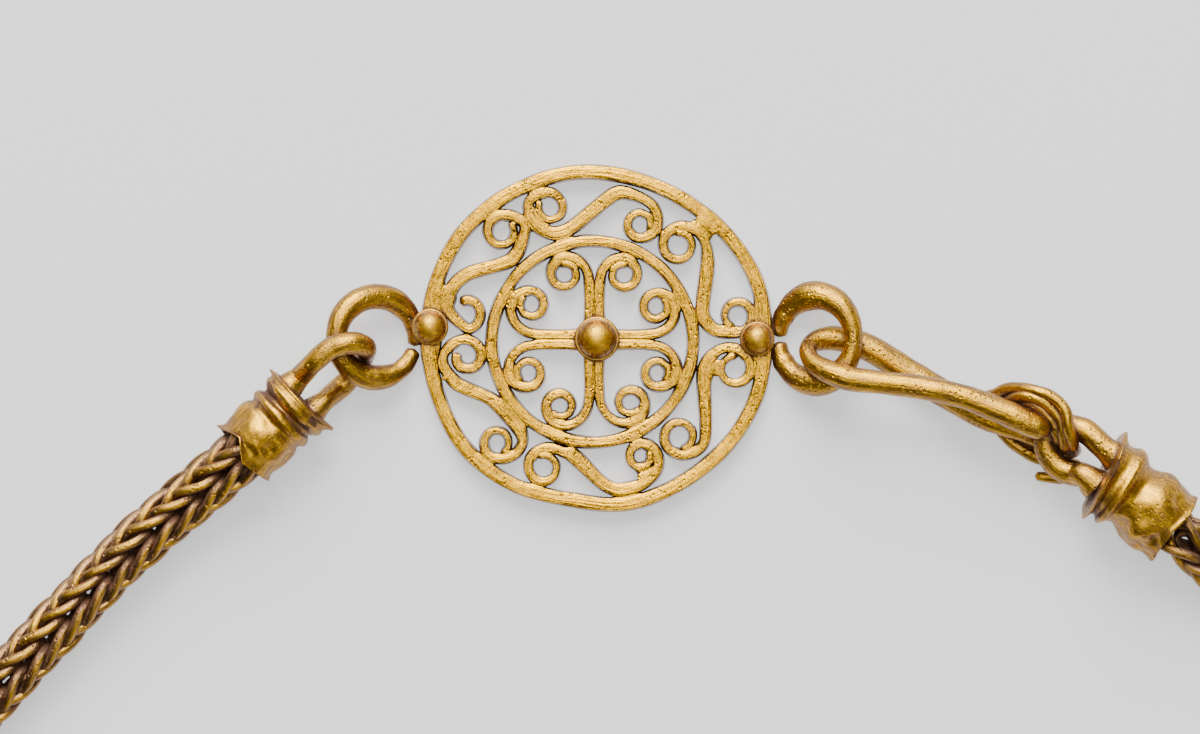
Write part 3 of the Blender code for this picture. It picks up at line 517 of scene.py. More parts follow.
def strip_outlines(way, height):
    """The section's places at each station of a strip."""
    base_half = way["half"].mean()
    section = strip_section(2 * base_half, height, min(STRIP_ROUNDING, base_half * 0.7))
    outlines = []
    marks = []
    keys = ("middle", "side", "half", "left", "right", "along")
    for middle, side, half, left, right, along in zip(*(way[key] for key in keys)):
        across, up = section[:, 0].copy(), section[:, 1].copy()
        up += STRIP_CROWN * (1.0 - (across / base_half) ** 2) * (up > height / 2)
        edge = np.minimum(1.0, np.abs(across) / (base_half * 0.5))
        across += np.where(across > 0, half + left - base_half, -(half + right - base_half)) * edge
        across += np.sign(across) * edge * STRIP_SPLAY * (SPLAY_LEVEL - up / height)
        from_end = min(along, way["along"][-1] - along)
        if not way["closed"] and from_end < STRIP_END:
            nip = math.sqrt(1.0 - (1.0 - from_end / STRIP_END) ** 2) * (1.0 - END_WIDTH) + END_WIDTH
            across *= nip
            up = height / 2 + (up - height / 2) * (END_HEIGHT + (1.0 - END_HEIGHT) * nip)
        outlines.append(np.column_stack((middle + across[:, None] * side, up)))
        marks.append(np.column_stack((np.full(len(up), along), across, up)))
    return outlines, marks


for node, way in routes.items():
    bm = bmesh.new()
    sweep(bm, *strip_outlines(way, STRIP_TOP - STRIP_CROWN), way["closed"])
    face_outwards(bm)
    pieces[node] = finished_object("gold_" + node, bm)
print("strip faces", sum(len(pieces[node].data.polygons) for node in routes))

# %% [markdown]
# ## Grains
# Three gold grains sit on the medallion, each in a low collar of solder and wire. They are turned
# shapes: half of the profile is spun round, which keeps the pole clean.

# %% Spun grains
GRAIN_STEPS = 48
GRAIN_ARC = 18
SEAT_SINK = 0.15 * MM
COLLAR_EDGE = 0.14 * MM
COLLAR_MIDDLE = 2.2
COLLAR_TOP = 3.0


def spun(profile, steps):
    """Spin a profile of (radius, height) round Z into a closed bmesh."""
    bm = bmesh.new()
    verts = [bm.verts.new((radius, 0.0, height)) for radius, height in profile]
    edges = [bm.edges.new(pair) for pair in zip(verts, verts[1:])]
    bmesh.ops.spin(bm, geom=verts + edges, cent=(0, 0, 0), axis=(0, 0, 1), angle=math.tau,
                   steps=steps, use_merge=True)
    bmesh.ops.remove_doubles(bm, verts=bm.verts[:], dist=MERGE)
    drawn = bm.verts.layers.float_vector.new("drawn")
    for vertex in bm.verts:
        vertex[drawn] = (vertex.co.z, vertex.co.x, vertex.co.y)
    return bm


def grain(node, ball_share):
    """A grain on its collar, in the place and size of the frame's solid."""
    low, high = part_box(node)
    collar = (high.x - low.x) / 2
    ball = collar * ball_share
    middle = high.z - ball
    seat = STRIP_TOP - SEAT_SINK
    edge = COLLAR_EDGE
    profile = [(0.0, seat), (collar - edge, seat)]
    for degrees in range(-90, 105, 15):
        angle = math.radians(degrees)
        profile.append((collar - edge + edge * math.cos(angle),
                        seat + edge * (COLLAR_MIDDLE + math.sin(angle))))
    low_angle = math.asin(max(-0.6, min(0.5, (seat + COLLAR_TOP * edge - middle) / ball)))
    for step in range(GRAIN_ARC + 1):
        angle = low_angle + (math.pi / 2 - low_angle) * step / GRAIN_ARC
        profile.append((max(0.0, ball * math.cos(angle)), middle + ball * math.sin(angle)))
    bm = spun(profile, GRAIN_STEPS)
    face_outwards(bm)
    bmesh.ops.translate(bm, vec=((low.x + high.x) / 2, (low.y + high.y) / 2, 0.0), verts=bm.verts[:])
    return finished_object("gold_" + node, bm)


for node, share in (("centre_bead", 0.84), ("left_bead", 0.86), ("right_bead", 0.87)):
    pieces[node] = grain(node, share)

# %% [markdown]
# ## Reading the wires' routes
# A wire's solid in the frame is a tube of eight sides. Its rings of corners are read from one cut end
# to the other: the end is a flat face with all its corners at one distance from its middle, and
# each further ring is what touches the ring before. The middle of a ring is the wire's place, and
# its mean distance is the wire's radius.

# %% Rings of a tube
TUBE_SIDES = 8
FLAT = math.cos(math.radians(1.0))


def round_ends(bm, sides):
    """The corners of each flat round face with a number of sides, with its middle and direction."""
    ends = []
    done = set()
    for seed in bm.faces:
        if seed in done:
            continue
        region = {seed}
        queue = [seed]
        while queue:
            for edge in queue.pop().edges:
                for other in edge.link_faces:
                    if other not in region and other.normal.dot(seed.normal) > FLAT:
                        region.add(other)
                        queue.append(other)
        done |= region
        corners = {vertex for face in region for vertex in face.verts}
        if len(corners) != sides or len(region) != sides - 2:
            continue
        centre = sum((vertex.co for vertex in corners), Vector()) / sides
        reach = [(vertex.co - centre).length for vertex in corners]
        if max(reach) < 1.03 * min(reach):
            ends.append((max(reach), corners, centre, seed.normal.copy()))
    return ends


def rings_from(first):
    """Each ring of corners in turn, starting from a first one."""
    seen = set(first)
    rings = [list(first)]
    while True:
        ring = {edge.other_vert(vertex) for vertex in rings[-1] for edge in vertex.link_edges} - seen
        if not ring:
            return rings
        seen |= ring
        rings.append(list(ring))


def wire_route(node):
    """A wire's rows of (x, y, z, radius) from one end to the other."""
    bm = merged_copy(node)
    rows = []
    _, corners, _, _ = round_ends(bm, TUBE_SIDES)[0]
    for ring in rings_from(corners):
        corners = np.array([vertex.co[:] for vertex in ring])
        centre = corners.mean(axis=0)
        rows.append((*centre, spans(corners - centre).mean()))
    bm.free()
    return np.array(rows)


# %% [markdown]
# ## Wires
# Rings, loops and hook are thick wire, worked round with a hammer. A circle is swept along each
# route, with the wire's own radius at each station. Its sideways direction is carried from station
# to station without twisting, or the faces would spiral. Where the ends of the rings and the roots
# of the loops were soldered, solder makes them thicker. The hook's thin tail was wound tight, so its
# turns are drawn in, and one more half turn lies under the first.

# %% Round wire along a route
WIRE_SIDES = 20
WIRE_SPACING = 0.16 * MM
END_ROUNDING = 0.3 * MM
END_REACH = 0.2 * MM
THIN_WIRE = 0.4 * MM
THIN_SWELL = 0.2
THIN_FADE = 0.2 * MM
END_THICKNESS = 0.2
STEEP = 0.1
TAIL_DRAW = 0.11
# Between which shares of the tail its turns are drawn in, and over what share that starts and ends
TAIL_START, TAIL_END = 0.45, 0.93
TAIL_START_FADE, TAIL_END_FADE = 0.1, 0.06
INNER_TURN = slice(3, 13)
INNER_DRAW = 0.55 * MM
INNER_SINK = 0.3 * MM
# Each wire's rounding at its ends, 0 where it runs into a plate, its swell, and the swell that its
# ends have besides, with its reach
WIRES = {"left_ring": (END_ROUNDING, 1.0, 0.55, 3.2 * MM),
         "right_ring": (END_ROUNDING, 1.0, 0.9, 3.2 * MM),
         "left_cap_loop": (0.0, 1.05, 0.35, 1.3 * MM),
         "right_cap_loop": (0.0, 1.14, 0.35, 1.3 * MM),
         "clasp_hook": (END_ROUNDING, 1.0, 0.0, FAR),
         "clasp_hook_inner_turn": (END_ROUNDING, 1.0, 0.0, FAR)}


def turned_sections(middle, along, side, sections, lengths):
    """Each section's places and marks at its station, carried along the route without twist."""
    outlines = []
    marks = []
    for place, direction, section, length in zip(middle, along, sections, lengths):
        side = side - direction * (side @ direction)
        side /= np.linalg.norm(side)
        outlines.append(place + section @ np.array((side, np.cross(direction, side))))
        marks.append(np.column_stack((np.full(len(section), length), section)))
    return outlines, marks


def tail(rows):
    """Which of the hook's rows are its thin wound tail, and the middle of its turns."""
    thin = np.flatnonzero(rows[:, 3] < THIN_WIRE)
    thin = thin[thin > len(rows) / 4]
    return thin, rows[thin, :2].mean(axis=0)


def tightened(rows):
    """The hook's rows, with the outer turns of its thin tail drawn in towards the hook."""
    thin, middle = tail(rows)
    order = (thin - thin[0]) / (thin[-1] - thin[0])
    draw = (TAIL_DRAW * ease((order - TAIL_START) / TAIL_START_FADE)
            * ease((TAIL_END - order) / TAIL_END_FADE))
    rows[thin, :2] += (middle - rows[thin, :2]) * draw[:, None]
    return rows


def inner_turn(rows):
    """One more turn of the hook's tail, under the first: half a turn of its rows, drawn in and down."""
    thin, middle = tail(rows)
    turn = rows[thin[INNER_TURN]]
    turn[:, :2] += unit(middle - turn[:, :2]) * INNER_DRAW
    turn[:, 2] = np.maximum(turn[:, 2] - INNER_SINK, turn[:, 3])
    return turn


def moved_on(row, before):
    """An end row moved a little further, away from the row before it."""
    ahead = row[:3] - before[:3]
    return np.array((*(row[:3] + ahead / np.linalg.norm(ahead) * END_REACH), row[3]))


def wire_piece(node, rows, end_length, swell, end_swell, swell_reach):
    """A round wire along rows of (x, y, z, radius)."""
    first, last = moved_on(rows[0], rows[1]), moved_on(rows[-1], rows[-2])
    if end_length == 0:
        rows = np.vstack((first, rows, last))
    elif "ring" in node:
        rows[0], rows[-1] = first, last
    route = smooth_route(rows, WIRE_SPACING)
    middle, radius = route[:, :3], route[:, 3].copy()
    lengths = np.arange(len(route)) * WIRE_SPACING
    from_end = np.minimum(np.arange(len(route)), np.arange(len(route))[::-1]) * WIRE_SPACING
    if end_length > 0:
        rounded = np.sqrt(1 - (1 - np.clip(from_end / end_length, 0, 1)) ** 2)
        radius *= END_THICKNESS + (1.0 - END_THICKNESS) * rounded
        radius *= 1.0 + THIN_SWELL * (1.0 - ease((radius - THIN_WIRE) / THIN_FADE))
    radius *= swell + end_swell * (1.0 - ease(from_end / swell_reach))
    along = unit(np.gradient(middle, axis=0))
    side = np.cross((0.0, 0.0, 1.0), along[0])
    if np.linalg.norm(side) < STEEP:
        side = np.cross((0.0, 1.0, 0.0), along[0])
    angles = np.arange(WIRE_SIDES) * math.tau / WIRE_SIDES
    circle = np.column_stack((np.cos(angles), np.sin(angles)))
    bm = bmesh.new()
    sweep(bm, *turned_sections(middle, along, side, [r * circle for r in radius], lengths))
    face_outwards(bm)
    return finished_object("gold_" + node, bm)


for node, shape in WIRES.items():
    rows = wire_route(node.removesuffix("_inner_turn"))
    if node == "clasp_hook":
        rows = tightened(rows)
    elif node == "clasp_hook_inner_turn":
        rows = inner_turn(rows)
    pieces[node] = wire_piece(node, rows, *shape)
    print(node, "faces", len(pieces[node].data.polygons))

# %% [markdown]
# ## End caps
# The caps are thin sheet, raised into ribs and soldered to a plate. Their axis and length are read
# from the frame: the plate is its widest flat round end. The ribs' profile is spun with many more
# steps than the solid has, so that dents have something to bend. Thin gold sheet is soft, so the
# plate's edge has bent-out points, the bodies are dented and the mouths are torn. The damage is a
# list for each cap, because random dents would put none where the real ones are.

# %% Spun sheet caps
CAP_SIDES = 15
CAP_STEPS = 96
CAP_SHEET = 0.2 * MM
CAP_SPACING = 0.11 * MM
LEAST_RADIUS = 0.3 * MM
UNBENT_RADIUS = 0.5 * MM
PLATE_RADIUS = 2.2 * MM
PLATE_SHARE = 0.09
MOUTH_START, MOUTH_SHARE = 0.86, 0.14
TILT_SHARE = 0.4
LEFT_CAP_PROFILE = ((0.0, 0.92), (0.02, 0.99), (0.045, 0.96), (0.075, 1.0), (0.12, 1.05), (0.165, 1.02),
                    (0.2, 0.94), (0.235, 0.84), (0.265, 0.86), (0.3, 0.96), (0.345, 1.0), (0.385, 0.97),
                    (0.42, 0.89), (0.455, 0.87), (0.52, 0.94), (0.66, 0.99), (0.8, 0.96), (0.92, 0.92),
                    (1.0, 1.0))
RIGHT_CAP_PROFILE = ((0.0, 1.1), (0.02, 1.15), (0.05, 1.04), (0.1, 0.93), (0.16, 0.93), (0.2, 1.0),
                     (0.24, 1.04), (0.28, 0.99), (0.34, 0.87), (0.41, 0.83), (0.49, 0.9), (0.58, 1.0),
                     (0.68, 1.02), (0.8, 0.96), (0.93, 0.89), (1.0, 0.92))
# How the sheet was bent and torn. Angles go round the axis, 0 and 180 at the sides and 90 on top.
# lug: (angle, spread, outwards, ahead). dent: (angle, share of the length, spread, share spread, in)
# rim: (angle, ahead) at the mouth. tilt: how the plate leans. Lengths are in millimetres.
LEFT_CAP_DAMAGE = {
    "lugs": ((4, 26, 0.6, -0.25), (174, 19, 0.6, 0.12), (250, 20, 0.2, -0.1)),
    "mouth_lugs": ((4, 20, 0.14, 0.0), (176, 20, 0.14, 0.0)),
    "dents": ((62, 0.7, 15, 0.09, 0.4), (36, 0.82, 17, 0.07, 0.22), (140, 0.7, 14, 0.12, 0.15),
              (20, 0.62, 14, 0.08, 0.25), (96, 0.5, 12, 0.05, 0.1), (85, 0.88, 12, 0.05, 0.16),
              (210, 0.7, 25, 0.1, 0.3), (300, 0.75, 25, 0.1, 0.3)),
    "rim": ((0, -0.05), (45, 0.15), (80, 0.38), (112, -0.75), (150, -0.2), (180, 0.0), (270, 0.1)),
    "tilt": 0.0}
RIGHT_CAP_DAMAGE = {
    "lugs": ((10, 30, -0.05, 0.0), (185, 25, 0.08, 0.05)),
    "mouth_lugs": ((5, 20, 0.1, 0.0), (165, 22, 0.12, 0.1)),
    "dents": ((100, 0.62, 20, 0.1, 0.3), (142, 0.5, 16, 0.08, 0.4), (150, 0.76, 13, 0.06, 0.3),
              (125, 0.86, 12, 0.05, 0.3), (172, 0.55, 22, 0.14, 0.5), (52, 0.8, 12, 0.05, 0.12),
              (118, 0.33, 13, 0.05, 0.2), (230, 0.7, 25, 0.1, 0.3), (310, 0.6, 25, 0.1, 0.25)),
    "rim": ((0, -0.05), (60, 0.1), (95, -0.25), (130, -0.05), (155, 0.15), (180, 0.1), (270, 0.1)),
    "tilt": -0.2}


def cap_axis(node):
    """A cap's plate middle, its direction towards the mouth, its length and its widest radius."""
    bm = merged_copy(node)
    _, _, plate, outwards = max(round_ends(bm, CAP_SIDES), key=lambda end: end[0])
    axis = -outwards
    along = [(vertex.co - plate).dot(axis) for vertex in bm.verts]
    across = [((vertex.co - plate) - axis * s).length for vertex, s in zip(bm.verts, along)]
    bm.free()
    return plate, axis, max(along), max(across)


def bump_round(angle, centre, spread):
    """1 at an angle round the axis, falling to 0 over a spread, in degrees."""
    apart = (angle - centre + 180.0) % 360.0 - 180.0
    return math.exp(-((apart / spread) ** 2))


def batter(bm, length, damage):
    """Bend the rims and press in the dents of a cap that stands on the origin along +Z."""
    first_angle, first_ahead = damage["rim"][0]
    angles, aheads = zip(*damage["rim"], (first_angle + 360, first_ahead))
    for vertex in bm.verts:
        x, y, s = vertex.co
        radius = math.hypot(x, y)
        if radius < UNBENT_RADIUS:
            continue
        angle = math.degrees(math.atan2(y, x)) % 360
        share = s / length
        by_plate = float(1.0 - ease(share / PLATE_SHARE)) * min(1.0, radius / PLATE_RADIUS) ** 2
        by_mouth = float(ease((share - MOUTH_START) / MOUTH_SHARE))
        outwards = 0.0
        ahead = 0.0
        for lugs, nearness in ((damage["lugs"], by_plate), (damage["mouth_lugs"], by_mouth)):
            for centre, spread, out, forward in lugs:
                weight = bump_round(angle, centre, spread) * nearness
                outwards += out * weight
                ahead += forward * weight
        for centre, at, spread, share_spread, depth in damage["dents"]:
            weight = bump_round(angle, centre, spread) * math.exp(-(((share - at) / share_spread) ** 2))
            outwards -= depth * weight
        ahead += float(np.interp(angle, angles, aheads)) * by_mouth
        ahead += damage["tilt"] * x / MM * float(1.0 - ease(share / TILT_SHARE))
        vertex.co.x += math.cos(math.radians(angle)) * outwards * MM
        vertex.co.y += math.sin(math.radians(angle)) * outwards * MM
        vertex.co.z += ahead * MM


def cap_piece(node, shares, damage):
    """A hollow ribbed cap on the node's axis."""
    plate, axis, length, widest = cap_axis(node)
    radius = widest / max(width for _, width in shares)
    profile = smooth_route([(s * length, width * radius) for s, width in shares], CAP_SPACING)
    inner = [(max(width - CAP_SHEET, LEAST_RADIUS), max(s, CAP_SHEET)) for s, width in profile[::-1]]
    outline = [(0.0, 0.0), (profile[0][1] * 0.5, 0.0)] + [(width, s) for s, width in profile]
    outline += inner + [(0.0, CAP_SHEET)]
    bm = spun(outline, CAP_STEPS)
    face_outwards(bm)
    batter(bm, length, damage)
    side = Vector((0, 0, 1)).cross(axis).normalized()
    turn = Matrix((side, axis.cross(side), axis)).transposed().to_4x4()
    turn.translation = plate
    bmesh.ops.transform(bm, matrix=turn, verts=bm.verts[:])
    print(node, "length", round(length / MM, 2), "radius", round(radius / MM, 2))
    return finished_object("gold_" + node, bm)


for node, shares, damage in (("left_cap", LEFT_CAP_PROFILE, LEFT_CAP_DAMAGE),
                             ("right_cap", RIGHT_CAP_PROFILE, RIGHT_CAP_DAMAGE)):
    pieces[node] = cap_piece(node, shares, damage)

# %% [markdown]
# ## The chain's route
# The chain's solid in the frame is a bar of rings with six corners. The two corners that lie furthest
# apart in a ring are opposite crests, so their midpoint is the middle of the chain.

# %% Middle line of the chain
BAR_CORNERS = 6
CHAIN_STEP = 0.25 * MM


def chain_middle():
    """The chain's middle line from the left cap to the right cap."""
    plate, axis, length, _ = cap_axis("left_cap")
    bm = merged_copy("chain")
    by_depth = sorted(bm.verts, key=lambda vertex: (vertex.co - plate).dot(axis)
                      if (vertex.co - plate).length < 3 * length else 1.0)
    middle = []
    for ring in rings_from(by_depth[:BAR_CORNERS]):
        a, b = max(((a, b) for a in ring for b in ring),
                   key=lambda pair: (pair[0].co - pair[1].co).length)
        middle.append((a.co + b.co) / 2)
    bm.free()
    return np.array(middle)


chain_line = smooth_route(chain_middle(), CHAIN_STEP)
chain_s = np.concatenate(([0.0], np.cumsum(spans(np.diff(chain_line, axis=0)))))
print("chain length", round(chain_s[-1] / MM, 1), "mm from", (chain_line[0] / MM).round(1),
      "to", (chain_line[-1] / MM).round(1))

# %% [markdown]
# ## Folded links
# Each link is a ring of wire, pinched long and folded into a U, and each passes through the two before
# it. Links in two columns, a quarter turn apart and half a step along, make the plait. One link
# is modelled and repeated, so it has only a few dozen faces, and Subdivision Surface rounds them. The
# corners are set a little outside the wire, because subdivision draws the surface inwards.

# %% One link of the chain
LINK_PITCH = 2.2 * MM
LINK_WIRE = 0.38 * MM
LINK_SAMPLING = 0.02 * MM
LINK_STATIONS = 22
STATION_LENGTH = 1.5 * MM
STATION_TURN = math.radians(35)
SUBDIVISION_DRAW = 0.68
LINK_ROLL = math.radians(-10.0)
# Half an arm of the link, from its pinched middle to the top of its bow, in millimetres: how far
# along the chain, how far out from its middle, and how far to the side
LINK_ARM = ((0.0, 0.0, 0.34), (0.03, 0.55, 0.34), (0.3, 1.1, 0.33), (0.9, 1.45, 0.36),
            (1.7, 1.58, 0.56), (2.5, 1.52, 0.93), (3.2, 1.28, 1.2), (3.85, 0.9, 1.18),
            (4.5, 0.6, 0.85), (4.98, 0.48, 0.42), (5.15, 0.45, 0.0))


def link_loop():
    """The closed wire of one link, as places (sideways, up, along)."""
    arm = [np.array((side, up, along)) * MM for along, up, side in LINK_ARM]
    mirror = np.array((-1.0, 1.0, 1.0))
    under = np.array((1.0, -1.0, 1.0))
    loop = arm + [place * mirror for place in arm[-2::-1]]
    loop += [place * mirror * under for place in arm[1:]]
    loop += [place * under for place in arm[-2:0:-1]]
    return loop


def link_mesh():
    """A coarse tube of four sides round the link's closed wire."""
    dense = smooth_route(link_loop(), LINK_SAMPLING, closed=True)
    steps = np.roll(dense, -1, axis=0) - dense
    step_lengths = spans(steps)
    steps = unit(steps)
    turns = spans(steps - np.roll(steps, 1, axis=0))
    effort = np.cumsum(step_lengths / STATION_LENGTH + turns / STATION_TURN)
    picks = np.searchsorted(effort, np.arange(LINK_STATIONS) * effort[-1] / LINK_STATIONS)
    middle = dense[picks]
    middle += (2 * middle - np.roll(middle, 1, axis=0) - np.roll(middle, -1, axis=0)) / 6
    along = unit(np.roll(middle, -1, axis=0) - np.roll(middle, 1, axis=0))
    square = LINK_WIRE / SUBDIVISION_DRAW * np.array(((1, 0), (0, 1), (-1, 0), (0, -1)))
    lengths = [step_lengths[:pick].sum() for pick in picks]
    bm = bmesh.new()
    sweep(bm, *turned_sections(middle, along, np.array((0.0, 0.0, 1.0)), [square] * LINK_STATIONS, lengths),
          closed=True)
    face_outwards(bm)
    mesh = bpy.data.meshes.new("link")
    bm.to_mesh(mesh)
    bm.free()
    return mesh


link = link_mesh()
link_places = np.array([vertex.co[:] for vertex in link.vertices])
print("link faces", len(link.polygons))

# %% [markdown]
# ## The whole chain
# Every link is bent along with the chain: a corner's distance along the link becomes a distance along
# the chain's middle line. Small seeded differences in turn, size and place keep it from looking
# printed. The links near the photograph's view get a second level of subdivision, the others one.

# %% Links along the route
along_all = unit(np.gradient(chain_line, axis=0))
side_all = unit(np.cross((0.0, 0.0, 1.0), along_all))
up_all = np.cross(along_all, side_all)


def at_length(values, lengths):
    """Values of the chain's line at distances along it."""
    return np.stack([np.interp(lengths, chain_s, column) for column in values.T], axis=1)


def bent_along_chain(places, start):
    """Places of a link moved to where the chain runs, from a distance along it."""
    lengths = start + places[:, 2]
    middle = at_length(chain_line, lengths)
    beyond = np.clip(lengths - chain_s[-1], 0, None) + np.clip(lengths, None, 0)
    middle += at_length(along_all, lengths) * beyond[:, None]
    return (middle + at_length(side_all, lengths) * places[:, 0:1]
            + at_length(up_all, lengths) * places[:, 1:2])


SEED = 11
chance = np.random.default_rng(SEED)
LINK_FIRST = -3
LINK_END = int((chain_s[-1] - 1.2 * LINK_PITCH) / (LINK_PITCH / 2))
NEAR_LEFT = 28
NEAR_RIGHT = 8
TURN_SPREAD = math.radians(3.2)
SIZE_SPREAD = 0.018
PLACE_SPREAD = 0.06 * MM


def chain_piece(name, first, last, levels):
    """The links from first to last as one piece."""
    bm = bmesh.new()
    for index in range(first, last):
        before = len(bm.verts)
        bm.from_mesh(link)
        bm.verts.ensure_lookup_table()
        drawn = bm.verts.layers.float_vector["drawn"]
        turn = LINK_ROLL + math.pi / 2 * (index % 2) + chance.normal(0, TURN_SPREAD)
        swell = 1.0 + chance.normal(0, SIZE_SPREAD)
        x, y, z = link_places.T
        turned = np.column_stack((x * math.cos(turn) - y * math.sin(turn),
                                  x * math.sin(turn) + y * math.cos(turn), z)) * swell
        placed = bent_along_chain(turned, index * LINK_PITCH / 2 + chance.normal(0, PLACE_SPREAD))
        for vertex, place in zip(bm.verts[before:], placed):
            vertex.co = place
            vertex[drawn].x += index * LINK_PITCH
    obj = finished_object(name, bm)
    rounding = obj.modifiers.new("rounding", "SUBSURF")
    rounding.levels = rounding.render_levels = levels
    return obj


chain_pieces = [chain_piece("chain_links_by_left_cap", LINK_FIRST, NEAR_LEFT, 2),
                chain_piece("chain_links_round", NEAR_LEFT, LINK_END - NEAR_RIGHT, 1),
                chain_piece("chain_links_by_right_cap", LINK_END - NEAR_RIGHT, LINK_END, 2)]
print("links", LINK_END - LINK_FIRST, "coarse faces", sum(len(obj.data.polygons) for obj in chain_pieces))

# %% [markdown]
# ## Hammer marks and wear
# Nothing on the real piece is straight or even. Vertices are moved along their normals by noise of
# three sizes: the hammer's broad waves, the unevenness that melting leaves, and a fine grain. It is
# done on the mesh and not only in the material, so that the outline is uneven too.

# %% Moving the surface by noise
def roughen(obj, waves):
    """Move vertices along their normals by layers of noise, each (size, depth)."""
    mesh = obj.data
    places, normals = np.empty((2, len(mesh.vertices) * 3))
    mesh.vertices.foreach_get("co", places)
    mesh.vertices.foreach_get("normal", normals)
    places = places.reshape(-1, 3)
    moved = np.zeros(len(places))
    for layer, (size, depth) in enumerate(waves):
        shift = Vector((layer * 7.1, layer * 3.3, 1.7))
        moved += depth * np.array([noise.noise(Vector(place) / size + shift) for place in places])
    places += normals.reshape(-1, 3) * moved[:, None]
    places[:, 2] = np.maximum(places[:, 2], 0.0)
    mesh.vertices.foreach_set("co", places.ravel())
    mesh.update()


def kind_of(node):
    """What a piece is: a strip, a grain, a cap or a wire."""
    if node in routes:
        return "strip"
    if "bead" in node:
        return "grain"
    return "cap" if node.endswith("_cap") else "wire"


WAVES = {"strip": ((2.6 * MM, 0.06 * MM), (0.9 * MM, 0.018 * MM), (0.3 * MM, 0.01 * MM)),
         "wire": ((3.0 * MM, 0.09 * MM), (1.1 * MM, 0.04 * MM), (0.4 * MM, 0.012 * MM)),
         "cap": ((2.4 * MM, 0.14 * MM), (1.0 * MM, 0.07 * MM), (0.35 * MM, 0.012 * MM))}
hammered = [node for node in pieces if kind_of(node) in WAVES]
for node in hammered:
    roughen(pieces[node], WAVES[kind_of(node)])
print("roughened", len(hammered), "pieces")

# %% [markdown]
# ## Where soil stays, and painted shade
# Burial soil and brown residue stay where a finger can't rub: in the eyes, beside the grains and
# between the links. How sheltered a point is gets measured once, by rays that leave it and meet, or
# don't meet, another surface nearby, and is kept as an attribute on the mesh. The table is one of
# those surfaces, so lower sides and walls near it count as sheltered too, and the brown on them is
# painted shade. An Ambient Occlusion node would do it while rendering, but an attribute stays with
# the mesh and costs nothing to render. A second attribute keeps how far a place is turned down, for
# painted shade on the sides that face away from the lights.

# %% Shelter attribute by rays
SHELTER_REACH = 1.6 * MM
SHELTER_RAYS = 10
RAY_LIFT = 0.02 * MM
LOWEST_RAY = 0.25


def ray_directions(count):
    """Directions spread evenly over a half sphere round +Z."""
    golden = math.pi * (3 - math.sqrt(5))
    directions = []
    for index in range(count):
        height = LOWEST_RAY + (1.0 - LOWEST_RAY) * (index + 0.5) / count
        reach = math.sqrt(1 - height * height)
        angle = golden * index
        directions.append(Vector((reach * math.cos(angle), reach * math.sin(angle), height)))
    return directions


def whole_surface(objects):
    """One ray-casting tree of all the pieces and the table."""
    # The table is in the tree, so places near it count as sheltered: lower sides and walls get painted
    # shade.
    corners = [Vector((x, y, 0.0)) for x, y in ((-1, -1), (1, -1), (1, 1), (-1, 1))]
    faces = [(0, 1, 2, 3)]
    for obj in objects:
        offset = len(corners)
        corners += [vertex.co.copy() for vertex in obj.data.vertices]
        faces += [tuple(index + offset for index in polygon.vertices) for polygon in obj.data.polygons]
    return BVHTree.FromPolygons(corners, faces)


def measure_shelter(obj, tree):
    """Keep on each vertex how much of the air round it is taken by near surfaces."""
    directions = ray_directions(SHELTER_RAYS)
    shelter = []
    for vertex in obj.data.vertices:
        turn = vertex.normal.to_track_quat("Z", "Y")
        start = vertex.co + vertex.normal * RAY_LIFT
        met = 0.0
        for direction in directions:
            _, _, _, distance = tree.ray_cast(start, turn @ direction, SHELTER_REACH)
            if distance is not None:
                met += 1.0 - distance / SHELTER_REACH
        shelter.append(met / SHELTER_RAYS)
    # How far each vertex is turned down, kept to paint shade on the sides that face away from the lights.
    turned = [(1.0 - vertex.normal.z) / 2 for vertex in obj.data.vertices]
    for name, values in (("shelter", shelter), ("painted_shade_facing", turned)):
        attribute = obj.data.attributes.new(name, "FLOAT", "POINT")
        attribute.data.foreach_set("value", values)


everything = list(pieces.values()) + chain_pieces
surface = whole_surface(everything)
for obj in everything:
    measure_shelter(obj, surface)
print("measured", sum(len(obj.data.vertices) for obj in everything), "vertices")

# %% [markdown]
# ## Old gold
# High-carat gold is a warm yellow metal. What makes it look old is that the yellow changes: paler
# where it is rubbed, redder where it is streaked or specked with grime, and brown where soil fills
# the pits and hollows. Painted shade goes into the same colour: places that are sheltered or turned
# down are mixed towards the darker red, and the soil's brown also paints shade on lower sides near
# the table. These effects are shared, so each is a node group with named inputs, placed in each
# material with its own values. Streaks follow the marks kept while sweeping. An image of wear would
# be quicker to place, but couldn't follow every wire and strip.

# %% Node groups for old gold
PIT_SCALE = 2600.0
PATCH_SCALE = 420.0
SOIL_AND_SHADE_SCALES = (1100.0, 5200.0)
STREAK_SCALE = 6600.0
STREAK_STRETCH = (0.07, 1.0, 1.0)
BROAD_SCALE = 220.0
BLOTCH_SCALE = 1500.0
SPECK_SCALE = 5600.0
WAVE_SCALE = 1300.0
GRAIN_SCALE = 6500.0
SOCKETS = ("NodeSocketFloat", "NodeSocketColor")
RUBBED_SHARE = 0.6
BLOTCH_ROUGHNESS = 0.35


def new_group(name, inputs, outputs):
    """A shader node group, its inputs with their values, and its output node."""
    group = bpy.data.node_groups.new(name, "ShaderNodeTree")
    for socket_name, value in inputs.items():
        socket = group.interface.new_socket(name=socket_name, in_out="INPUT",
                                            socket_type=SOCKETS[isinstance(value, tuple)])
        socket.default_value = value
    for socket_name in outputs:
        group.interface.new_socket(name=socket_name, in_out="OUTPUT",
                                   socket_type=SOCKETS[socket_name == "Color"])
    return group, group.nodes.new("NodeGroupInput").outputs, group.nodes.new("NodeGroupOutput")


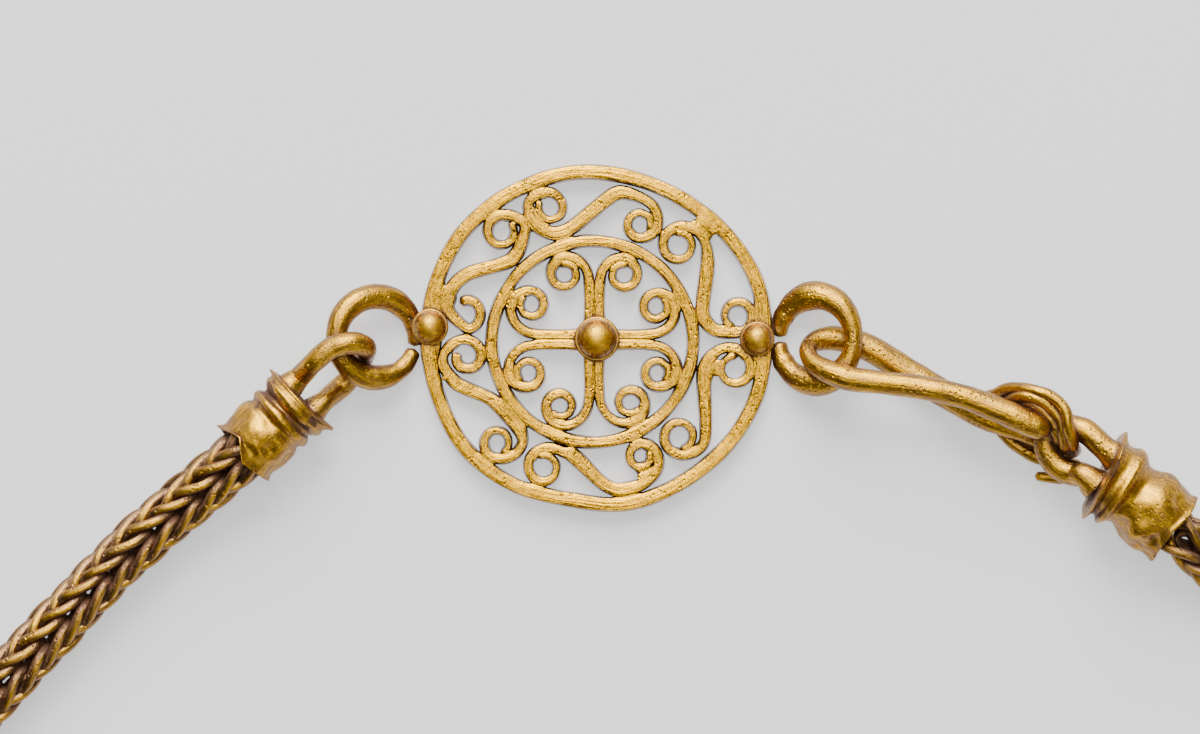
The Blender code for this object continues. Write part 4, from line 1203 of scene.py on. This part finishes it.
def maths(tree):
    """Functions that add a Math node to the tree: plus, minus, times, greatest and least."""
    def function(operation):
        return lambda first, second: add_node(tree, "ShaderNodeMath", ((0, first), (1, second)),
                                              operation=operation).outputs["Value"]
    return [function(name) for name in ("ADD", "SUBTRACT", "MULTIPLY", "MAXIMUM", "MINIMUM")]


def place_on(tree):
    """The place on the object, in metres."""
    return add_node(tree, "ShaderNodeTexCoord").outputs["Object"]


def kept(tree, name, output="Fac"):
    """What an attribute of the mesh keeps."""
    return add_node(tree, "ShaderNodeAttribute", attribute_name=name).outputs[output]


def noise_field(tree, place, scale, detail=3.0, roughness=0.55):
    """The value of a noise texture."""
    return add_node(tree, "ShaderNodeTexNoise", (("Vector", place), ("Scale", scale), ("Detail", detail),
                                                 ("Roughness", roughness))).outputs["Fac"]


def ranged(tree, value, low, high, to_low=0.0, to_high=1.0):
    """A value mapped smoothly from one range to another."""
    return add_node(tree, "ShaderNodeMapRange", (("Value", value), ("From Min", low), ("From Max", high),
                                                 ("To Min", to_low), ("To Max", to_high)),
                    interpolation_type="SMOOTHSTEP").outputs["Result"]


def mixed(tree, share, first, second):
    """Two colours mixed by a share. The node's colour sockets are its inputs 6 and 7 and output 2."""
    return add_node(tree, "ShaderNodeMix", (("Factor", share), (6, first), (7, second)),
                    data_type="RGBA").outputs[2]


def pit_field(tree):
    """Small round pits that come in patches, 1 in their middles."""
    place = place_on(tree)
    _, _, times, _, _ = maths(tree)
    cells = add_node(tree, "ShaderNodeTexVoronoi", (("Vector", place), ("Scale", PIT_SCALE)))
    patch = ranged(tree, noise_field(tree, place, PATCH_SCALE), 0.44, 0.6)
    return times(ranged(tree, cells.outputs["Distance"], 0.36, 0.12), patch)


def streak_field(tree):
    """Noise drawn out along the strip or wire, from the marks kept while sweeping."""
    mark = kept(tree, "drawn", "Vector")
    longer = add_node(tree, "ShaderNodeVectorMath", ((0, mark), (1, STREAK_STRETCH)), operation="MULTIPLY")
    return noise_field(tree, longer.outputs["Vector"], STREAK_SCALE, 3.0, 0.6)


def soil_and_shade_group():
    """Where soil stays and shade is painted: sheltered places, near the table too, and pits, broken up by
    noise. Gives a mask.
    """
    group, ins, outs = new_group(
        "soil_and_shade_in_hollows", {"Start": 0.3, "Full": 0.6, "Breakup": 0.3, "Pits": 0.5}, ("Mask",))
    plus, minus, times, greatest, _ = maths(group)
    place = place_on(group)
    speckle = plus(times(noise_field(group, place, SOIL_AND_SHADE_SCALES[0]), 0.5),
                   times(noise_field(group, place, SOIL_AND_SHADE_SCALES[1], 2.0), 0.5))
    level = plus(kept(group, "shelter"), times(minus(speckle, 0.5), ins["Breakup"]))
    in_hollows = ranged(group, level, ins["Start"], ins["Full"])
    feed(outs, (("Mask", greatest(in_hollows, times(pit_field(group), ins["Pits"]))),))
    return group


def gold_tone_group():
    """The changing yellow of old gold, with painted shade where it is sheltered or turned down. Gives a
    colour and a roughness.
    """
    group, ins, outs = new_group(
        "gold_tones", {"Yellow": (0.9, 0.6, 0.2, 1.0), "Red": (0.8, 0.42, 0.1, 1.0),
                       "Pale": (1.0, 0.8, 0.4, 1.0), "Gloss": 0.3, "Grime": 0.4, "Specks": 0.3},
        ("Color", "Roughness"))
    plus, minus, times, greatest, least = maths(group)
    place = place_on(group)
    shelter = kept(group, "shelter")
    streaks = streak_field(group)
    broad = ranged(group, noise_field(group, place, BROAD_SCALE), 0.42, 0.68, 0.0, 0.7)
    grime = times(plus(broad, ranged(group, streaks, 0.5, 0.36)), ins["Grime"])
    specks = ranged(group, noise_field(group, place, SPECK_SCALE, 3.0, 0.65), 0.47, 0.36)
    grime = plus(grime, times(specks, ins["Specks"]))
    # Painted shade: sheltered places and sides turned down are mixed towards the darker red.
    painted_shade_share = greatest(ranged(group, shelter, 0.08, 0.42, 0.0, 0.9),
                          ranged(group, kept(group, "painted_shade_facing"), 0.03, 0.32, 0.0, 0.95))
    base = mixed(group, least(plus(grime, painted_shade_share), 1.0), ins["Yellow"], ins["Red"])
    rubbed = times(ranged(group, streaks, 0.48, 0.62), ranged(group, shelter, 0.16, 0.04))
    blotch = noise_field(group, place, BLOTCH_SCALE, 5.0, 0.65)
    feed(outs, (("Color", mixed(group, times(rubbed, RUBBED_SHARE), base, ins["Pale"])),
                ("Roughness", plus(ins["Gloss"], times(minus(blotch, 0.5), BLOTCH_ROUGHNESS)))))
    return group


def pitting_group():
    """The skin of worked gold: waves, grain, pits and streaks. Gives a height."""
    group, ins, outs = new_group(
        "pitted_skin", {"Streaks": 0.5, "Waves": 0.5, "Grain": 0.5, "Pits": 0.5}, ("Height",))
    plus, _, times, _, _ = maths(group)
    place = place_on(group)
    height = plus(times(noise_field(group, place, WAVE_SCALE, 2.0), ins["Waves"]),
                  times(noise_field(group, place, GRAIN_SCALE, 2.0, 0.6), ins["Grain"]))
    height = plus(height, times(times(pit_field(group), -1.0), ins["Pits"]))
    feed(outs, (("Height", plus(height, times(streak_field(group), ins["Streaks"]))),))
    return group


SOIL_AND_SHADE = soil_and_shade_group()
TONES = gold_tone_group()
PITTING = pitting_group()

# %% [markdown]
# ## Materials of the pieces
# The same groups make the pitted strips, the grains, the smoother wires, the worn sheet of the caps
# and the chain, with different values: how fine the skin is, how glossy, how grimy, and how early
# the soil and painted shade start. The light medallion and the duller rest are the same gold, worn
# differently and with a darker yellow on the rest.

# %% Gold materials
YELLOW = (0.87, 0.43, 0.004, 1.0)
DULL_YELLOW = (0.62, 0.322, 0.016, 1.0)
# Darker red for grime, and for painted shade on sheltered and downturned places.
RED_GRIME_AND_SHADE = (0.26, 0.138, 0.06, 1.0)
PALE = (0.97, 0.52, 0.003, 1.0)
DULL_PALE = (0.85, 0.45, 0.004, 1.0)
GRAIN_YELLOW = (0.85, 0.46, 0.014, 1.0)
# Brown of soil in pits and hollows, and painted shade on lower sides and walls near the table.
SOIL_AND_SHADE_BROWN = (0.11, 0.046, 0.02, 1.0)
BREAKUP = 1.3
PIT_SOIL = 0.7
SOIL_AND_SHADE_METALLIC = 0.35
SOIL_AND_SHADE_ROUGHNESS = 0.75
# Each gold's yellow and pale yellow, its gloss, grime and specks, its skin as (streaks, waves, grain,
# pits), its soil and painted shade as (start, full), and the depth of its skin
GOLD_VALUES = {
    "strip": (YELLOW, PALE, 0.27, 0.24, 0.1, (0.8, 0.35, 0.2, 0.4), (0.24, 0.64), 0.1 * MM),
    "grain": (GRAIN_YELLOW, PALE, 0.47, 0.3, 0.3, (0.0, 0.2, 0.4, 0.4), (0.42, 0.8), 0.03 * MM),
    "wire": (DULL_YELLOW, DULL_PALE, 0.36, 0.38, 0.45, (0.6, 0.3, 0.5, 0.8), (0.36, 0.75), 0.07 * MM),
    "cap": (DULL_YELLOW, DULL_PALE, 0.41, 0.34, 0.3, (0.1, 0.4, 0.35, 0.35), (0.15, 0.42), 0.06 * MM),
    "chain": (DULL_YELLOW, DULL_PALE, 0.32, 0.42, 0.3, (1.0, 0.4, 0.5, 0.8), (0.32, 0.66), 0.055 * MM)}


def old_gold(name, yellow, pale, gloss, grime, specks, skin, soil_and_shade, depth):
    """A gold material from the groups, with its own values."""
    material, tree, shader = new_material(name)
    _, _, times, greatest, _ = maths(tree)
    tones = add_node(tree, "ShaderNodeGroup", (("Yellow", yellow), ("Red", RED_GRIME_AND_SHADE), ("Pale", pale),
                                               ("Gloss", gloss), ("Grime", grime), ("Specks", specks)),
                     node_tree=TONES)
    dirt_and_shade = add_node(tree, "ShaderNodeGroup", (("Start", soil_and_shade[0]), ("Full", soil_and_shade[1]), ("Breakup", BREAKUP),
                                              ("Pits", PIT_SOIL * skin[3])), node_tree=SOIL_AND_SHADE)
    pitting = add_node(tree, "ShaderNodeGroup", zip(("Streaks", "Waves", "Grain", "Pits"), skin),
                       node_tree=PITTING)
    relief = add_node(tree, "ShaderNodeBump", (("Height", pitting.outputs["Height"]), ("Strength", 1.0),
                                               ("Distance", depth)))
    # The mask lays soil brown over the gold, and painted shade where the table shelters the lower sides.
    mask = dirt_and_shade.outputs["Mask"]
    feed(shader, (("Base Color", mixed(tree, mask, tones.outputs["Color"], SOIL_AND_SHADE_BROWN)),
                  ("Metallic", ranged(tree, mask, 0.0, 1.0, 1.0, SOIL_AND_SHADE_METALLIC)),
                  ("Roughness", greatest(tones.outputs["Roughness"], times(mask, SOIL_AND_SHADE_ROUGHNESS))),
                  ("Normal", relief.outputs["Normal"])))
    return material


golds = {kind: old_gold(kind + "_gold", *values) for kind, values in GOLD_VALUES.items()}
for node, obj in pieces.items():
    obj.data.materials.append(golds[kind_of(node)])
for obj in chain_pieces:
    obj.data.materials.append(golds["chain"])
print("golds:", sorted(golds))

# %% [markdown]
# ## Ride on the body
# Each new piece rides on the necklace's one body, and the frame's solid it was made from is hidden.

# %% Ride on the body
for node, obj in pieces.items():
    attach(obj, "root")
    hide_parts("clasp_hook" if node.startswith("clasp_hook") else node)
for obj in chain_pieces:
    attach(obj, "root")
    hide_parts("chain")
